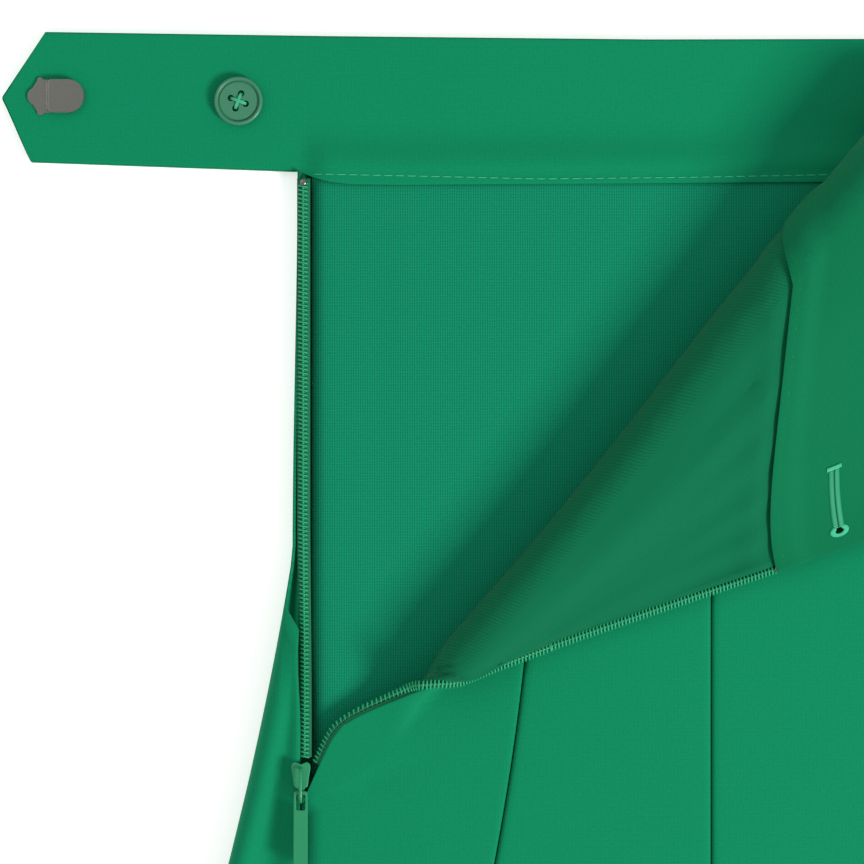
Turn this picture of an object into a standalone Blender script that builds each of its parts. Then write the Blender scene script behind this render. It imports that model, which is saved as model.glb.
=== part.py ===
"""Pleated golf skirt, laid flat with its side zip undone and its front corner turned over.

Lengths below are in millimetres and every object is made at its real size in metres.
X runs to the wearer's side seam, Y runs up to the waist, Z runs up from the surface.
The layers, from the surface up: back panel, back lining, front lining, front panel.
"""
import math

import bmesh
import bpy
from mathutils import Matrix, Vector

MM = 0.001

# Driving sizes
PX = 0.306                      # size of one pixel of the reference view
VIEW_U = 918.0                  # pixel column of the skirt's centre line
VIEW_V = 688.0                  # pixel row of the skirt's origin
HALF_WAIST = 190.0              # half of the flat waist
WAIST_TOP = 199.5               # upper edge of the back band
BAND = 41.0                     # height of the waistband
HEM = -200.0                    # hem on the centre line
HEM_LIFT = 11.0                 # the hem's sides sit this much higher
FRONT_DROP = 8.0                # the front waist dips this much at its centre
CLOTH = 1.0
SEAM = 0.35                     # gap between pieces
BACK_BAND_WALL = 3.0
BAND_EASE = 0.3                 # more room at the front band's seam, where it bends
FRONT_BAND_WALL = 2.4
STEP = CLOTH + SEAM             # from one layer of cloth to the next
TOP = 11.05                     # outer face of the front
BACK_LEVEL = CLOTH / 2
BACK_LINING_Z = 4.55
FRONT_LINING_OFFSET = -5.1      # measured down from the outer face of the front
FRONT_BAND_OFFSET = -3.0
PLEAT_WAIST = (-119.0, -64.0, 0.0, 64.0, 119.0)
PLEAT_HEM = (-150.0, -64.0, 0.0, 64.0, 150.0)
PLEAT_BOW = 11.0                # the outermost pleats bow this far to the centre
BACK_SHIFT = -5.0               # the back's pleats lie this far to the side of the front's
PLEAT_DEPTH = (20.0, 24.0)      # underlay at the waist and at the hem
LINING_HEM = 45.0               # the lining stops this far above the hem
LINING_EDGE = 5.0               # and this far inside the side seam
SIDE_ROLL = 5.025               # radius of the back's turn round the side
FLUTE_TOP = 40.7                # where the flare leaves the zip
FLUTE_FALL = 52.0               # and how far below it the flare is whole
SEAM_X = HALF_WAIST - 1.2       # half width at the side seam, which lies on the front

# The zip
TAPE = (2.0, 2.0)               # width and height of the back half, its coil included
BACK_TAPE_IN = 2.8              # its middle lies this far inside the edge
FRONT_TAPE_IN = 2.6
FRONT_TAPE_OFFSET = -2.75
FRONT_TAPE_TALL = 1.6
SLIDER_X = (301.5 - VIEW_U) * PX
SLIDER_FLOOR = TOP + SEAM
SLIDER_PLATE = 1.2
HINGE_Y = -31.5
HINGE_Z = SLIDER_FLOOR + SLIDER_PLATE + 0.95

# The turned corner: a cone rolled about the zip's lower end. Angles are in degrees
APEX = Vector((-188.5, -35.2))
ZIP_SIDE = math.radians(90.0)
OUTLINE = (48.7, 50.2)          # the fold's angle near the apex and far from it
OUTLINE_SHIFT = (90.0, 225.0)   # distances from the apex where the first passes to the second
LINING_OUT = 5.6                # the lining's inner face stands this far outside the roll
ROLL_BASE, ROLL_RISE = 3.0, 0.02
ROLL_NEAR = 20.0                # nearer the apex the roll starts no earlier than here
ZIP_ANGLE, ZIP_SWING, ZIP_OPEN = 18.65, 1252.0, 66.0
REACH_ROLL, REACH_FLAP = 0.05, 0.098
EDGE_HEIGHT = 0.8               # the zip's edge lies this far above the front
RIDGE = 4.0                     # height added where the edge stands up
FLAP_SLOPE = 0.5
CURL = (30.0, 76.0)             # distances from the apex where the curl starts and is whole
LAID = (30.0, 90.0)             # distances where the corner starts to lie down and lies
FOLD_CUTS = (28.0, 33.0, 37.0, 40.0, 42.0, 44.0, 45.3, 46.1, 46.9, 47.7, 48.5, 49.3, 50.1,
             50.9, 51.7, 52.7, 54.5, 57.5, 62.0, 68.0, 75.0, 81.0, 86.0)

NEAR_CUTS = (8.0, 15.0, 22.0, 28.0, 34.0, 39.0, 44.0, 49.0, 54.0, 60.0, 67.0, 76.0, 87.0, 101.0)
NEAR_REACH = 135.0

COLOURS = {
    "outer": (0.007, 0.250, 0.112, 1.0),
    "lining": (0.009, 0.230, 0.120, 1.0),
    "zip": (0.006, 0.200, 0.095, 1.0),
    "button": (0.030, 0.180, 0.100, 1.0),
    "steel": (0.25, 0.24, 0.21, 1.0),
    "paint": (0.010, 0.260, 0.120, 1.0),
}


def at(u, v):
    """Place in the skirt's frame of a pixel of the reference view."""
    return (u - VIEW_U) * PX, (VIEW_V - v) * PX


def smooth(low, high, value):
    """Ease from 0 at low to 1 at high."""
    t = min(max((value - low) / (high - low), 0.0), 1.0)
    return t * t * (3.0 - 2.0 * t)


def mix(a, b, t):
    return a + (b - a) * t


# ---------------------------------------------------------------- the cut of the skirt

def side_x(y):
    """Half width of the skirt at its outer silhouette."""
    if y >= FLUTE_TOP:
        return HALF_WAIST + 1.5 * smooth(WAIST_TOP - BAND, FLUTE_TOP, y)
    drop = FLUTE_TOP - y
    return HALF_WAIST + 1.5 + 0.16 * drop + 0.00048 * drop * drop


def hem_y(x):
    return HEM + HEM_LIFT * (x / 230.0) ** 2


def front_waist(x):
    """Lower edge of the front band."""
    return WAIST_TOP - BAND - FRONT_DROP * (1.0 - (x / HALF_WAIST) ** 2)


def back_waist(x):
    return WAIST_TOP - BAND


def row_y(waist, x, t):
    """Height at fraction t from the waist seam to the hem."""
    return mix(waist(x) - SEAM, hem_y(x), t)


def pleat_points(line, depth):
    """Section of one knife pleat: its fold faces +X and its underlay lies behind it."""
    r = STEP / 2
    return [
        (line - r, 0.0), (line - 0.05, -0.3), (line - 0.05, -1.05), (line - r, -STEP),
        (line - depth + r, -STEP), (line - depth + 0.05, -STEP - 0.3),
        (line - depth + 0.05, -STEP - 1.05), (line - depth + r, -2 * STEP),
        (line + 0.2, -2 * STEP), (line + 1.5, -1.9), (line + 1.9, -0.7), (line + 2.9, 0.0),
    ]


def panel_section(left, right, t, shift=0.0):
    """Section of a pleated panel as (x, depth) pairs, with a point amid each flat part."""
    bow = PLEAT_BOW * math.sin(math.pi * min(t * 1.3, 1.0))
    depth = mix(PLEAT_DEPTH[0], PLEAT_DEPTH[1], t)
    points = [(left, 0.0)]
    for waist_line, hem_line in zip(PLEAT_WAIST, PLEAT_HEM):
        line = shift + mix(waist_line, hem_line, t)
        if abs(waist_line) == PLEAT_WAIST[-1]:
            line -= math.copysign(bow, waist_line)
        points.append((mix(points[-1][0], line, 0.5), 0.0))
        points.extend(pleat_points(line, depth))
    points.append((mix(points[-1][0], right, 0.5), 0.0))
    points.append((right, 0.0))
    return points


# ---------------------------------------------------------------- the turned corner

def hermite(a, pace_a, b, pace_b, t):
    """Smooth way from a to b that leaves and arrives at the given paces."""
    t2, t3 = t * t, t * t * t
    return (a * (2 * t3 - 3 * t2 + 1) + pace_a * (t3 - 2 * t2 + t) + b * (3 * t2 - 2 * t3)
            + pace_b * (t3 - t2))


def zip_edge(r):
    """Angle of the corner's zip edge at distance r from the apex, in radians."""
    swing = ZIP_ANGLE + ZIP_SWING / r
    return math.radians((swing ** -16 + ZIP_OPEN ** -16) ** (-1 / 16))


def rolled(r, angle):
    """Outer face of the front at polar place (r, angle) round the apex."""
    roll = ROLL_BASE + ROLL_RISE * r
    outline = math.radians(mix(*OUTLINE, smooth(*OUTLINE_SHIFT, r)))
    start = outline - (LINING_OUT + roll) / max(r, ROLL_NEAR)
    run = r * (angle - start)
    if run <= 0.0:
        return Vector((APEX.x + r * math.cos(angle), APEX.y + r * math.sin(angle), TOP))
    curl = math.pi * smooth(*CURL, r)
    laid = smooth(*LAID, r)
    bend = roll * curl
    if run < bend:
        side = roll * math.sin(run / roll)
        lift = roll * (1.0 - math.cos(run / roll))
        scale = 1.0 - REACH_ROLL * laid * run / bend
    else:
        share = (run - bend) / (r * (ZIP_SIDE - start) - bend)
        edge = zip_edge(r * (1.0 - (REACH_ROLL + REACH_FLAP) * laid))
        x0, z0 = roll * math.sin(curl), roll * (1.0 - math.cos(curl))
        x1 = r * (edge - start)
        fall = FLAP_SLOPE * max(x0 - x1, 0.0)
        z1 = max(EDGE_HEIGHT * laid, z0 + RIDGE * math.sin(curl) - fall)
        pace = math.hypot(x1 - x0, z1 - z0)
        along, up = pace * math.cos(curl), pace * math.sin(curl)
        side = hermite(x0, along, x1, along, share)
        lift = hermite(z0, up, z1, 0.4 * up, share)
        scale = 1.0 - (REACH_ROLL + REACH_FLAP * share) * laid
    out = start + side / r
    return Vector((APEX.x + r * scale * math.cos(out), APEX.y + r * scale * math.sin(out),
                   TOP + lift))


def turn(x, y, offset):
    """Carry a point of the flat front onto the turned corner, offset from its outer face."""
    dx, dy = x - APEX.x, y - APEX.y
    r, angle = math.hypot(dx, dy), math.atan2(dy, dx)
    if dy <= 0.0 or r < 1.0:
        return Vector((x, y, TOP + offset))
    base = rolled(r, angle)
    dr, da = 0.2, 0.2 / r
    along = rolled(r + dr, angle) - rolled(r - dr, angle)
    across = rolled(r, angle + da) - rolled(r, angle - da)
    return base + along.cross(across).normalized() * offset


def beside(x, y, offset, side):
    """Carry a flat point onto the turned corner, then move it along the cloth by side."""
    across = turn(x + 0.5, y, offset) - turn(x - 0.5, y, offset)
    return turn(x, y, offset) + across.normalized() * side


# ---------------------------------------------------------------- helpers that make objects

def material(name, rough=0.8, metal=0.0):
    mat = bpy.data.materials.get(name) or bpy.data.materials.new(name)
    mat.use_nodes = True
    shader = mat.node_tree.nodes["Principled BSDF"]
    shader.inputs["Base Color"].default_value = COLOURS[name]
    shader.inputs["Roughness"].default_value = rough
    shader.inputs["Metallic"].default_value = metal
    return mat


def add_object(name, bm, mat, group):
    """Turn a bmesh in millimetres into an object in metres."""
    bmesh.ops.scale(bm, vec=Vector((MM, MM, MM)), verts=bm.verts)
    mesh = bpy.data.meshes.new(name)
    bm.to_mesh(mesh)
    bm.free()
    obj = bpy.data.objects.new(name, mesh)
    obj.data.materials.append(mat)
    group.objects.link(obj)
    return obj


def add_wall(obj, thickness, even=True):
    """Give an open surface its wall, half to each side; a turned piece takes no even offset."""
    wall = obj.modifiers.new("wall", "SOLIDIFY")
    wall.thickness = thickness * MM
    wall.offset = 0.0
    wall.use_even_offset = even
    return wall


def add_bevel(obj, width, segments=2):
    edge = obj.modifiers.new("edge", "BEVEL")
    edge.width = width * MM
    edge.segments = segments
    edge.limit_method = "ANGLE"
    edge.angle_limit = math.radians(50.0)
    return edge


def grid(rows):
    """Open surface through rows of points, each row with the same count."""
    bm = bmesh.new()
    wide, tall = len(rows[0]), len(rows)
    bmesh.ops.create_grid(bm, x_segments=wide - 1, y_segments=tall - 1, size=1.0)
    bm.verts.ensure_lookup_table()
    for index, vert in enumerate(bm.verts):
        vert.co = rows[index // wide][index % wide]
    bmesh.ops.recalc_face_normals(bm, faces=bm.faces)
    return bm


def cut_plane(bm, faces, spot, normal):
    """Add the edges where a plane crosses some faces."""
    geom = faces + list({e for f in faces for e in f.edges})
    geom += list({v for f in faces for v in f.verts})
    bmesh.ops.bisect_plane(bm, geom=geom, dist=0.02, plane_co=spot, plane_no=normal)


def cut_folds(bm):
    """Add edges along lines from the zip's lower end, and across them near that end."""
    centre = Vector((APEX.x, APEX.y, 0.0))
    for degrees in FOLD_CUTS:
        angle = math.radians(degrees)
        upper = [f for f in bm.faces if f.calc_center_median().y > APEX.y - 12.0]
        cut_plane(bm, upper, centre, Vector((-math.sin(angle), math.cos(angle), 0.0)))
    fold = math.radians(OUTLINE[0])
    axis = Vector((math.cos(fold), math.sin(fold), 0.0))
    for distance in NEAR_CUTS:
        near = [f for f in bm.faces if (f.calc_center_median() - centre).length < NEAR_REACH]
        cut_plane(bm, near, centre + axis * distance, axis)


def turn_all(bm, offset):
    """Carry every point of a flat front piece onto the turned corner."""
    for vert in bm.verts:
        vert.co = turn(vert.co.x, vert.co.y, vert.co.z + offset)


def prism(outline, low, high):
    """Closed prism over an outline of (x, y) points."""
    bm = bmesh.new()
    face = bm.faces.new([bm.verts.new((x, y, low)) for x, y in outline])
    out = bmesh.ops.extrude_face_region(bm, geom=[face])
    verts = [g for g in out["geom"] if isinstance(g, bmesh.types.BMVert)]
    bmesh.ops.translate(bm, vec=Vector((0.0, 0.0, high - low)), verts=verts)
    bmesh.ops.recalc_face_normals(bm, faces=bm.faces)
    return bm


def arc(cx, cy, r, start, end, count):
    """Points round an arc, angles in degrees."""
    angles = [math.radians(mix(start, end, i / count)) for i in range(count + 1)]
    return [(cx + r * math.cos(a), cy + r * math.sin(a)) for a in angles]


def union(obj, other):
    """Join a cutter-group object into obj."""
    other.hide_render = True
    other.display_type = "WIRE"
    join = obj.modifiers.new("join_" + other.name, "BOOLEAN")
    join.operation = "UNION"
    join.solver = "EXACT"
    join.object = other


def cut(obj, other):
    union(obj, other)
    obj.modifiers[-1].operation = "DIFFERENCE"


# ---------------------------------------------------------------- the back

def side_turn(y, count):
    """Points of the back's turn round the side, as (distance inside the edge, z)."""
    share = 1.0 - smooth(FLUTE_TOP - FLUTE_FALL, FLUTE_TOP, y)
    angle = mix(math.pi * 0.5, math.pi, share)
    straight = max(side_x(y) - CLOTH / 2 - SEAM_X - SIDE_ROLL, 0.0) * share
    length = SIDE_ROLL * angle + straight
    points = []
    for i in range(1, count + 1):
        run = length * i / count
        if run <= SIDE_ROLL * angle:
            a = run / SIDE_ROLL
            points.append((SIDE_ROLL * (1.0 - math.sin(a)), SIDE_ROLL * (1.0 - math.cos(a))))
        else:
            rest = run - SIDE_ROLL * angle
            points.append((SIDE_ROLL + rest, 2.0 * SIDE_ROLL))
    return points


def back_panel(group, mat):
    """Pleated back. Its outer face rests on the surface; its sides turn up onto the front."""
    fractions = (0.0, 0.12, 0.24, 0.33, 0.385, 0.44, 0.5, 0.62, 0.74, 0.87, 1.0)
    rows = []
    for t in fractions:
        edge = side_x(row_y(back_waist, HALF_WAIST, t)) - CLOTH / 2
        flat = edge - SIDE_ROLL
        y_side = row_y(back_waist, edge, t)
        wrap = side_turn(y_side, 8)
        row = []
        for inside, z in reversed(wrap):
            row.append(Vector((-edge + inside, y_side, BACK_LEVEL + z)))
        for x, depth in panel_section(-flat, flat, t, BACK_SHIFT):
            row.append(Vector((x, row_y(back_waist, x, t), BACK_LEVEL - depth)))
        for inside, z in wrap:
            row.append(Vector((edge - inside, y_side, BACK_LEVEL + z)))
        rows.append(row)
    obj = add_object("back_panel", grid(rows), mat, group)
    add_wall(obj, CLOTH)


def lining_rows(waist, left, right, low, fractions, columns):
    """Rows of a plain lining, flat at z 0."""
    rows = []
    for t in fractions:
        row = []
        for i in range(columns + 1):
            x = mix(left, right, i / columns)
            y = mix(waist(x) - SEAM, low + hem_y(x), t)
            row.append(Vector((x, y, 0.0)))
        rows.append(row)
    return rows


def back_lining(group, mat):
    wide = HALF_WAIST - LINING_EDGE
    rows = lining_rows(back_waist, -wide, wide, LINING_HEM, [i / 6 for i in range(7)], 12)
    bm = grid(rows)
    bmesh.ops.translate(bm, vec=Vector((0.0, 0.0, BACK_LINING_Z)), verts=bm.verts)
    obj = add_object("back_lining", bm, mat, group)
    add_wall(obj, CLOTH)


def back_band(group, mat):
    """Back waistband, with the pointed tab that laps over the front."""
    tip = at(0.8, 97.0)
    upper = at(44.0, 30.5)
    lower = at(29.5, 161.0)
    heel = at(296.5, 170.5)
    outline = [(HALF_WAIST, WAIST_TOP - BAND), (HALF_WAIST, WAIST_TOP)]
    outline += [at(650.0, 38.0), at(330.0, 34.7), upper, tip, lower, heel]
    outline += [(heel[0], WAIST_TOP - BAND)]
    bm = prism(outline, 0.0, BACK_BAND_WALL)
    corners = []
    for edge in bm.edges:
        a, b = edge.verts
        upright = abs(a.co.z - b.co.z) > 1.0
        if upright and a.co.x < heel[0] - 1.0 and edge.calc_face_angle(0.0) > 0.3:
            corners.append(edge)
    bmesh.ops.bevel(bm, geom=corners, offset=2.0, affect="EDGES", segments=3, profile=0.5,
                    material=-1)
    obj = add_object("back_band", bm, mat, group)
    add_bevel(obj, 0.6, 2)


# ---------------------------------------------------------------- the front

def front_panel(group, mat):
    """Pleated front. Its upper left corner is turned over, its outer face down."""
    fractions = [0.0, 0.07, 0.14, 0.21, 0.28, 0.35, 0.42, 0.48, 0.54, 0.62, 0.72, 0.86, 1.0]
    rows = []
    for t in fractions:
        y_side = row_y(front_waist, HALF_WAIST, t)
        wide = SEAM_X - SEAM
        row = []
        for x, depth in panel_section(-wide, wide, t):
            row.append(Vector((x, row_y(front_waist, x, t), depth)))
        rows.append(row)
    bm = grid(rows)
    cut_folds(bm)
    turn_all(bm, -CLOTH / 2)
    obj = add_object("front_panel", bm, mat, group)
    add_wall(obj, CLOTH, even=False)


def front_lining(group, mat):
    """Plain lining under the front, which shows on the turned corner."""
    wide = HALF_WAIST - LINING_EDGE
    fractions = [i / 14 for i in range(15)]
    bm = grid(lining_rows(front_waist, -wide, wide, LINING_HEM, fractions, 12))
    cut_folds(bm)
    turn_all(bm, FRONT_LINING_OFFSET)
    obj = add_object("front_lining", bm, mat, group)
    add_wall(obj, CLOTH, even=False)


def front_band(group, mat):
    """Front waistband with the keyhole buttonhole near its end."""
    slot_far, slot_eye, slot_end = -158.0, -177.0, -181.0
    columns = [-HALF_WAIST, slot_end, slot_eye, -167.0, slot_far, -145.0, -130.0, -110.0]
    columns += [-90.0, -70.0, -50.0, -30.0, -10.0, 10.0, 50.0, 100.0, 150.0, HALF_WAIST]
    middle, narrow, eye = 0.5, 1.0 / BAND, 2.2 / BAND
    shares = [0.0, 0.25, middle - eye, middle - narrow, middle + narrow, middle + eye, 0.75, 1.0]
    rows = []
    for share in reversed(shares):
        rows.append([Vector((x, front_waist(x) + BAND_EASE + BAND * share, 0.0)) for x in columns])
    bm = grid(rows)
    gone = []
    for face in bm.faces:
        centre = face.calc_center_median()
        from_middle = abs(centre.y - front_waist(centre.x) - BAND * middle)
        limit = 0.0
        if slot_end < centre.x < slot_eye:
            limit = 2.2
        elif slot_eye < centre.x < slot_far:
            limit = 0.9
        if from_middle < limit:
            gone.append(face)
    bmesh.ops.delete(bm, geom=gone, context="FACES")
    cut_folds(bm)
    turn_all(bm, FRONT_BAND_OFFSET)
    obj = add_object("front_band", bm, mat, group)
    add_wall(obj, FRONT_BAND_WALL, even=False)


def hook_bar(group, mat):
    """Plain bar on the front band's outer face, which the hook catches."""
    x, wide, tall = -118.0, 12.0, 4.0
    rise = FRONT_BAND_OFFSET + FRONT_BAND_WALL / 2 + SEAM + 0.5
    y = front_waist(x) + BAND / 2
    rows = []
    for dy in (-tall / 2, tall / 2):
        rows.append([turn(x + dx, y + dy, rise) for dx in (-wide / 2, 0.0, wide / 2)])
    obj = add_object("hook_bar", grid(rows), mat, group)
    add_wall(obj, 1.0)


# ---------------------------------------------------------------- the zip

def zip_tapes(group, mat):
    """The two halves of the zip, each with its coil, along the edges of the opening."""
    low, high, count = -20.5, WAIST_TOP - BAND - 1.0, 18
    wide, tall = TAPE[0] / 2, TAPE[1]
    rows = []
    for i in range(count + 1):
        y = mix(low, high, i / count)
        edge = -side_x(max(y, FLUTE_TOP)) + BACK_TAPE_IN
        z = mix(8.0, 5.2, smooth(low, low + 45.0, y))
        rows.append([Vector((edge + dx, y, z)) for dx in (-wide, wide)])
    obj = add_object("zip_tape_back", grid(rows), mat, group)
    add_wall(obj, tall)
    rows = []
    for i in range(count + 9):
        y = mix(low + 10.0, high - SEAM, i / (count + 8))
        rows.append([beside(-HALF_WAIST + FRONT_TAPE_IN, y, FRONT_TAPE_OFFSET, dx)
                     for dx in (-wide, wide)])
    obj = add_object("zip_tape_front", grid(rows), mat, group)
    add_wall(obj, FRONT_TAPE_TALL, even=False)


def zip_slider(group, cutters, mat):
    """Slider body with its nose and the bridge that holds the pull tab."""
    x, floor, height = SLIDER_X, SLIDER_FLOOR, SLIDER_PLATE
    body = [(x - 2.6, -29.6), (x + 2.6, -29.6), (x + 2.9, -22.4), (x - 2.9, -22.4)]
    obj = add_object("zip_slider", prism(body, floor, floor + height), mat, group)
    nose = [(x - 0.95, -35.0), (x + 0.95, -35.0), (x + 0.95, -29.0), (x - 0.95, -29.0)]
    nose_obj = add_object("slider_nose", prism(nose, floor, floor + height), mat, cutters)
    union(obj, nose_obj)
    half = 0.55
    base, crown = floor + height - 0.3, floor + height + 2.45
    path = [(-24.0, base), (-25.0, crown - 0.4), (-26.4, crown), (-32.8, crown),
            (-34.1, crown - 0.4), (-34.3, base)]
    rows = [[Vector((x + dx, y, z)) for dx in (-half, half)] for y, z in path]
    bridge = add_object("slider_bridge", grid(rows), mat, cutters)
    add_wall(bridge, 0.9)
    union(obj, bridge)


def pull_tab(group, cutters, mat):
    """Flat pull tab, hung on its cross bar under the slider's bridge."""
    length, half, thick = 23.0, 2.15, 1.1
    outline = [(half, 0.55), (-half, 0.55), (-half, -length + 1.2)]
    outline += [(-half + 1.2, -length), (half - 1.2, -length), (half, -length + 1.2)]
    bm = prism(outline, -thick / 2, thick / 2)
    tilt = Matrix.Rotation(math.radians(-4.0), 4, "X")
    place = Matrix.Translation(Vector((SLIDER_X, HINGE_Y, HINGE_Z)) * MM) @ tilt
    obj = add_object("pull_tab", bm, mat, group)
    obj.matrix_world = place
    window = [(-1.35, -5.2), (1.35, -5.2), (1.35, -0.55), (-1.35, -0.55)]
    hole = add_object("tab_window", prism(window, -2.0, 2.0), mat, cutters)
    hole.matrix_world = place
    cut(obj, hole)
    add_bevel(obj, 0.15, 1)


def top_stops(group, mat):
    """Small metal clamps at the upper ends of the zip."""
    size = (0.9, 1.0, 0.5)
    x, y = -side_x(WAIST_TOP - BAND) + BACK_TAPE_IN, WAIST_TOP - BAND - 2.6
    rows = [[Vector((x + dx, y + dy, 5.2 + 1.0 + SEAM + size[2])) for dx in (-size[0], size[0])]
            for dy in (-size[1], size[1])]
    obj = add_object("top_stop_back", grid(rows), mat, group)
    add_wall(obj, 2 * size[2])
    y = front_waist(-HALF_WAIST) - 4.0
    rise = FRONT_TAPE_OFFSET - FRONT_TAPE_TALL / 2 - SEAM - size[2]
    rows = [[beside(-HALF_WAIST + FRONT_TAPE_IN, y + dy, rise, dx)
             for dx in (-size[0], size[0])] for dy in (-size[1], size[1])]
    obj = add_object("top_stop_front", grid(rows), mat, group)
    add_wall(obj, 2 * size[2])


# ---------------------------------------------------------------- the fastenings

def button(group, cutters, mat):
    """Four-hole button: a raised rim round a sunken face."""
    x, y = at(238.0, 100.4)
    low = BACK_BAND_WALL + SEAM
    profile = [(0.0, 2.0), (5.6, 2.0), (6.1, 1.75), (6.6, 2.6), (7.2, 2.5), (7.5, 1.8),
               (6.6, 0.3), (5.8, 0.0), (0.0, 0.0)]
    bm = bmesh.new()
    verts = [bm.verts.new((r, 0.0, z)) for r, z in profile]
    for a, b in zip(verts, verts[1:]):
        bm.edges.new((a, b))
    bmesh.ops.spin(bm, geom=bm.edges[:] + bm.verts[:], angle=2 * math.pi, steps=32,
                   axis=Vector((0, 0, 1)), use_merge=True)
    bmesh.ops.remove_doubles(bm, verts=bm.verts, dist=0.001)
    bmesh.ops.recalc_face_normals(bm, faces=bm.faces)
    bmesh.ops.translate(bm, vec=Vector((x, y, low)), verts=bm.verts)
    obj = add_object("button", bm, mat, group)
    for i in range(4):
        a = math.radians(45.0 + 24.0 + 90.0 * i)
        hole = bmesh.new()
        spot = Matrix.Translation(Vector((x + 2.45 * math.cos(a), y + 2.45 * math.sin(a), low)))
        bmesh.ops.create_cone(hole, cap_ends=True, segments=12, radius1=0.95, radius2=0.95,
                              depth=8.0, matrix=spot)
        cut(obj, add_object("button_hole_%d" % i, hole, mat, cutters))


def hook(group, cutters, mat):
    """Trouser hook: a base plate on the tab and a tongue that stands above it."""
    left, middle = at(26.3, 95.5)
    fold, _ = at(48.0, 95.5)
    right, _ = at(83.9, 95.5)
    low, sheet = BACK_BAND_WALL + SEAM, 0.8
    base = arc(left + 2.9, middle, 2.9, 110.0, 250.0, 6)
    base += [(left + 3.2, middle - 5.6), (fold + 5.0, middle - 5.6)]
    base += [(fold + 5.0, middle + 5.6), (left + 3.2, middle + 5.6)]
    obj = add_object("hook", prism(base, low, low + sheet), mat, group)
    r = 5.15
    tongue = arc(right - r, middle, r, -90.0, 90.0, 10)
    tongue += [(fold - 0.9, middle + r), (fold - 0.9, middle - r)]
    high = low + sheet + 1.1
    tongue_obj = add_object("hook_tongue", prism(tongue, high, high + sheet), mat, cutters)
    union(obj, tongue_obj)
    riser = [(fold - 0.6, middle - r + 0.3), (fold + 0.5, middle - r + 0.3),
             (fold + 0.5, middle + r - 0.3), (fold - 0.6, middle + r - 0.3)]
    riser_obj = add_object("hook_riser", prism(riser, low + 0.4, high + 0.4), mat, cutters)
    union(obj, riser_obj)


# ---------------------------------------------------------------- the whole skirt

def main():
    for obj in list(bpy.data.objects):
        bpy.data.objects.remove(obj)
    group = bpy.data.collections.new("pleated_golf_skirt")
    cutters = bpy.data.collections.new("cutters")
    for collection in (group, cutters):
        bpy.context.scene.collection.children.link(collection)
    outer = material("outer", 0.75)
    lining = material("lining", 0.85)
    tape = material("zip", 0.6)
    steel = material("steel", 0.35, 1.0)
    paint = material("paint", 0.4)
    back_panel(group, outer)
    back_lining(group, lining)
    back_band(group, outer)
    front_panel(group, outer)
    front_lining(group, lining)
    front_band(group, outer)
    zip_tapes(group, tape)
    zip_slider(group, cutters, paint)
    pull_tab(group, cutters, paint)
    top_stops(group, steel)
    button(group, cutters, material("button", 0.45))
    hook(group, cutters, steel)
    hook_bar(group, steel)
    bpy.context.view_layer.update()


main()
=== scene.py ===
"""Looks of a pleated golf skirt, laid flat with its side zip undone and one corner turned over.

Sizes are in millimetres in the skirt's own frame and become metres when a mesh is made.
The front's cloth keeps the coordinates of its flat cut in a UV map, so weave and knit follow
it round the turned corner. All other cloth keeps its place as seen from above.
"""

import logging
import math
from dataclasses import dataclass
from enum import Enum
from typing import Callable, Iterable, Optional, Sequence

import bmesh
import bpy
from mathutils import Matrix, Vector


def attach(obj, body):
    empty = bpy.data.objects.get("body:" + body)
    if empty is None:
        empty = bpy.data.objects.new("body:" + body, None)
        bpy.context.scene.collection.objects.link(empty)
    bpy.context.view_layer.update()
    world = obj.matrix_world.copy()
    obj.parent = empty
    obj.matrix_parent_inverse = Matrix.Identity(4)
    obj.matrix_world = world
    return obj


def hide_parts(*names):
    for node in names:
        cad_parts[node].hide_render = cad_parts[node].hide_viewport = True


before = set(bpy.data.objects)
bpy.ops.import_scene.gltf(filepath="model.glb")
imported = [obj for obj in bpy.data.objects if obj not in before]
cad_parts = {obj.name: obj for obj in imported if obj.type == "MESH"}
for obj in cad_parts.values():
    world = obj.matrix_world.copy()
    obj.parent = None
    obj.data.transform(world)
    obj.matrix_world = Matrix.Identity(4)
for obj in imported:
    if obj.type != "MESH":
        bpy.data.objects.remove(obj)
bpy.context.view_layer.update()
LOG = logging.getLogger("skirt")
MM = 0.001
PX = 0.306
VIEW_U = 918.0
VIEW_V = 688.0


class Body(Enum):
    """The part's bodies: what moves together."""

    SKIRT = "skirt"
    PULL_TAB = "pull_tab"


class Slot(Enum):
    """The record's material slots."""

    OUTER = "outer"
    LINING = "lining"
    ZIP = "zip"
    PAINT = "painted_zinc"
    STEEL = "steel"
    RESIN = "button_resin"


def at(u: float, v: float) -> tuple[float, float]:
    """Place in the skirt's frame, in mm, of a pixel of the reference view."""
    return (u - VIEW_U) * PX, (VIEW_V - v) * PX


def mix(a: float, b: float, t: float) -> float:
    """Value at share t of the way from a to b."""
    return a + (b - a) * t


def smooth(low: float, high: float, value: float) -> float:
    """Ease from 0 at low to 1 at high."""
    t = min(max((value - low) / (high - low), 0.0), 1.0)
    return t * t * (3.0 - 2.0 * t)


def spread(low: float, high: float, count: int) -> list[float]:
    """Evenly spaced values from low to high, both included."""
    return [mix(low, high, i / (count - 1)) for i in range(count)]


def along(table: Sequence[tuple[float, float]], x: float) -> float:
    """Height at x on the line through a short table of (x, y) rows.

    Args:
        table: rows in rising x.
        x: where to read it.

    Returns:
        The height, level beyond both ends.
    """
    if x <= table[0][0]:
        return table[0][1]
    for (x0, y0), (x1, y1) in zip(table, table[1:]):
        if x <= x1:
            return mix(y0, y1, (x - x0) / (x1 - x0))
    return table[-1][1]


def bump(x: float, centre: float, width: float) -> float:
    """Soft hump of height 1 at centre, gone at width to either side."""
    t = min(abs(x - centre) / width, 1.0)
    return (1.0 - t * t) ** 2


# ---------------------------------------------------------------- the skirt's cut

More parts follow.
